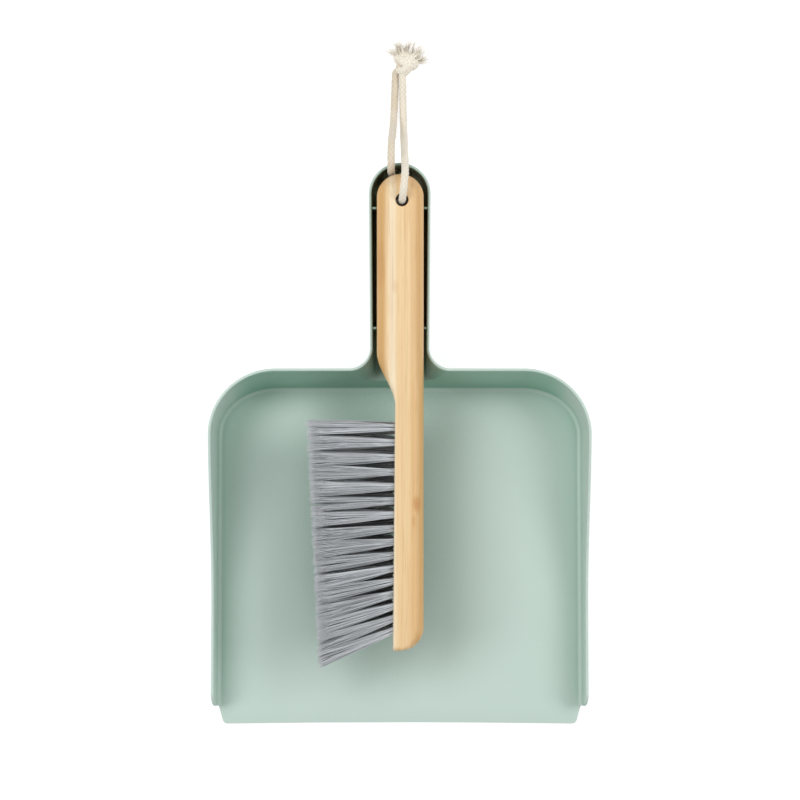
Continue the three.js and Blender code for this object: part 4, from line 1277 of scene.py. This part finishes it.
def build_frayed_end(name, low_angle, high_angle, seed):
    """The cord's end, undone into its yarns and their fibres."""
    chance = np.random.default_rng(seed)
    yarns, per_yarn, rings = 15, 18, 10
    yarn_angles = np.radians(np.linspace(low_angle, high_angle, yarns) + chance.normal(0, 4, yarns))
    yarn_tilts = chance.uniform(-0.45, 0.4, yarns)
    yarn_lengths = chance.uniform(0.0045, 0.0088, yarns)
    shares = np.linspace(0, 1, rings)[None, :, None]

    def fan(angles, tilts, starts, lengths, curl, wave):
        """Paths outwards from their starts, which curl, wave and sink towards the floor."""
        flat = np.cos(tilts)
        out = np.stack([np.cos(angles) * flat, np.sin(angles) * flat, np.sin(tilts)], axis=1)
        ripple = np.sin(shares * math.pi * chance.uniform(1.5, 3.5, (len(angles), 1, 1)))
        bend = chance.normal(0, curl, (len(angles), 1, 3)) * shares ** 2
        paths = starts[:, None] + out[:, None] * lengths[:, None, None] * shares + bend
        paths += chance.normal(0, wave, (len(angles), 1, 3)) * ripple
        paths[..., 2] = np.maximum(paths[..., 2] - shares[..., 0] ** 2 * 0.0018, FRAY_THICKNESS)
        return paths

    starts = in_knot(np.stack([np.cos(yarn_angles), np.sin(yarn_angles), yarn_tilts], axis=1) / 2)
    yarn_paths = fan(yarn_angles, yarn_tilts, starts, yarn_lengths, 0.0006, 0.0002)
    radii = np.interp(shares[0, :, 0], [0, 0.55, 1], [0.00075, 0.0006, 0.0001])
    twisted = add_fibres("Yarns", yarn_paths, radii, 10, depth=chance.uniform(0.0, 0.2, (yarns, 1)))

    # Fibres leave each yarn all along it.
    picked = np.repeat(np.arange(yarns), per_yarn)
    starts = yarn_paths[picked, chance.integers(2, rings - 2, len(picked))]
    starts = starts + chance.normal(0, 0.00028, starts.shape)
    angles = yarn_angles[picked] + chance.normal(0, 0.2, len(picked))
    tilts = yarn_tilts[picked] + chance.normal(0, 0.18, len(picked))
    lengths = yarn_lengths[picked] * chance.uniform(0.35, 0.95, len(picked))
    paths = fan(angles, tilts, starts, lengths, 0.001, 0.00025)
    radii = FRAY_THICKNESS / 2 * np.interp(shares[0, :, 0], [0, 0.8, 1], [1.3, 1, 0.45])
    loose = add_fibres("Fibres", paths, radii, 4, depth=chance.uniform(0.0, 0.15, (len(picked), 1)))
    return join(name, [twisted, loose])


# ---- Stage and operators ----

def build_camera(height):
    """A long lens that looks straight down on the middle of the set, cord and all."""
    camera = bpy.data.cameras.new("Camera")
    camera.lens = 120
    camera.sensor_width = 36
    holder = new_object("Camera", camera)
    holder.location = (0.00015, 0.0278, height)
    bpy.context.scene.camera = holder


def build_floor(tone):
    """A matt floor, just under the pan and far wider."""
    reach, side = 12.0, 9
    shares = np.linspace(-1, 1, side)
    points = [(reach * x, reach * y, -0.00005) for y in shares for x in shares]
    corners = [row * side + column for row in range(side - 1) for column in range(side - 1)]
    floor = add_object("floor", points, [(c, c + 1, c + side + 1, c + side) for c in corners])
    material, tree, shader = new_material(
        "Floor", Roughness=0.9, Specular_IOR_Level=0.1, Emission_Color=(1, 1, 1, 1), Emission_Strength=0.8,
    )
    toned = place_effect(tree, tone_drift(), opaque(tone), 1.0, 0.002)["Color"]
    tree.links.new(toned, shader.inputs["Base Color"])
    floor.data.materials.append(material)


def build_sky(strength):
    """Soft light from all round, in front of a plain bright background."""
    world = bpy.data.worlds.new("Sky")
    world.use_nodes = True
    tree = world.node_tree
    background = tree.nodes["Background"]
    background.inputs["Color"].default_value = (0.94, 1, 0.975, 1)
    seen = node(tree, "ShaderNodeLightPath").outputs["Is Camera Ray"]
    shown = map_range(tree, seen, 0, 1, strength, 1.0, smooth=False)
    tree.links.new(shown, background.inputs["Strength"])
    bpy.context.scene.world = world


def build_softbox(name, power, place):
    """A long soft light to one side of the set, which faces it."""
    light = bpy.data.lights.new(name, "AREA")
    light.shape = "RECTANGLE"
    light.size = 1.5
    light.size_y = 0.6
    light.energy = power
    away = place.normalized()
    length = Vector((-math.copysign(1, place.x), 0.8, 0))
    length = (length - away * length.dot(away)).normalized()
    lamp = new_object(name, light)
    lamp.location = place
    lamp.rotation_mode = "QUATERNION"
    lamp.rotation_quaternion = Matrix((length, away.cross(length), away)).transposed().to_quaternion()


class DUSTPAN_OT_stage(bpy.types.Operator):
    """Make the camera, the floor and the lights"""
    bl_idname = "dustpan.stage"
    bl_label = "Stage"

    def execute(self, context):
        settings = context.scene.stage_settings
        context.scene.view_settings.view_transform = "Standard"
        build_camera(settings.camera_height)
        build_floor(settings.floor)
        build_sky(settings.sky)
        build_softbox("Left softbox", settings.left, Vector((-0.98, 0.25, 1.4)))
        build_softbox("Right softbox", settings.right, Vector((1.22, 0.36, 1.4)))
        return {"FINISHED"}


class DUSTPAN_OT_cords(bpy.types.Operator):
    """Make both strands of the cord, its knot, its frayed ends and its loose hairs"""
    bl_idname = "dustpan.cords"
    bl_label = "Cord"

    def execute(self, context):
        settings = context.scene.cord_settings
        material = cotton(settings)
        knot = build_knot("knot", settings.pitch)
        finish_with(knot, material, "brush", "cotton_cord", "cord_knot")
        ends = []
        for seed, (node_name, angles) in enumerate(FRAY_ANGLES.items(), 31):
            end = build_frayed_end(node_name.replace("cord_end", "frayed_end"), *angles, seed)
            ends.append(finish_with(end, material, "brush", "cotton_cord", node_name))
        for name, route, exit_z, length, shade_share, others in (
            ("front", FRONT_STRAND, BRUSH_HIGH.z, FRONT_LENGTH, STRAND_SHADES[0], [knot, *ends]),
            ("rear", REAR_STRAND, BRUSH_LOW.z, REAR_LENGTH, STRAND_SHADES[1], []),
        ):
            centres = along_curve(route, 0.00032)
            strand = braid(
                f"{name}_strand", centres, CORD_DIAMETER / 2, settings.pitch, len(centres), shade_share,
            )
            finish_with(strand, material, "brush", "cotton_cord", f"cord_{name}")
            hairs = build_hairs(f"{name}_hairs", centres, settings.hairs, len(centres))
            finish_with(hairs, material, "brush", "cotton_cord")
        return {"FINISHED"}


class DUSTPAN_OT_pan(bpy.types.Operator):
    """Make the moulded pan with its lip, its hollow handle and the two ribs in it"""
    bl_idname = "dustpan.pan"
    bl_label = "Pan"

    def execute(self, context):
        settings = context.scene.pan_settings
        pan = build_pan(settings.rim_round)
        finish_with(pan, pan_plastic(settings), "pan", "pan_plastic", "dustpan")
        return {"FINISHED"}


class DUSTPAN_OT_block(bpy.types.Operator):
    """Make the bamboo block of the brush, drilled for its tufts and its cord"""
    bl_idname = "dustpan.block"
    bl_label = "Bamboo block"

    def execute(self, context):
        settings = context.scene.block_settings
        block = build_block(settings.mouth_round)
        finish_with(block, bamboo(settings), "brush", "bamboo", "brush_handle")
        return {"FINISHED"}


class DUSTPAN_OT_tufts(bpy.types.Operator):
    """Make the tufts of folded bristles in their three rows"""
    bl_idname = "dustpan.tufts"
    bl_label = "Tufts"

    def execute(self, context):
        settings = context.scene.tuft_settings
        material = bristle_plastic(settings)
        for row, index, name in each_tuft():
            tuft = build_tuft(f"bristles_{name}", row, index, settings)
            finish_with(tuft, material, "brush", "bristles", f"tuft_{name}")
        return {"FINISHED"}


class DUSTPAN_OT_anchors(bpy.types.Operator):
    """Make the wire anchors that hold the tufts in their holes"""
    bl_idname = "dustpan.anchors"
    bl_label = "Anchors"

    def execute(self, context):
        material = anchor_wire()
        for row, index, name in each_tuft():
            finish_with(build_anchor(f"anchor_{name}", row, index), material, "brush")
        return {"FINISHED"}


OPERATORS = (
    DUSTPAN_OT_stage, DUSTPAN_OT_cords, DUSTPAN_OT_pan,
    DUSTPAN_OT_block, DUSTPAN_OT_tufts, DUSTPAN_OT_anchors,
)
SETTINGS = {
    "stage_settings": StageSettings,
    "cord_settings": CordSettings,
    "pan_settings": PanSettings,
    "block_settings": BlockSettings,
    "tuft_settings": TuftSettings,
}


class DUSTPAN_PT_pieces(bpy.types.Panel):
    """Lists the pieces of the set, with their sizes and colours"""
    bl_idname = "DUSTPAN_PT_pieces"
    bl_label = "Dust pan and brush"
    bl_space_type = "VIEW_3D"
    bl_region_type = "UI"
    bl_category = "Dust pan"

    def draw(self, context):
        for name, group in SETTINGS.items():
            box = self.layout.box()
            for setting in group.__annotations__:
                box.prop(getattr(context.scene, name), setting)
        for operator in OPERATORS:
            self.layout.operator(operator.bl_idname)


def register():
    for group in (*SETTINGS.values(), *OPERATORS, DUSTPAN_PT_pieces):
        bpy.utils.register_class(group)
    for name, group in SETTINGS.items():
        setattr(bpy.types.Scene, name, PointerProperty(type=group))


def unregister():
    for name in SETTINGS:
        delattr(bpy.types.Scene, name)
    for group in reversed((*SETTINGS.values(), *OPERATORS, DUSTPAN_PT_pieces)):
        bpy.utils.unregister_class(group)


def main():
    register()
    bpy.ops.dustpan.stage()
    bpy.ops.dustpan.cords()
    bpy.ops.dustpan.pan()
    bpy.ops.dustpan.block()
    bpy.ops.dustpan.tufts()
    bpy.ops.dustpan.anchors()


if __name__ == "__main__":
    main()
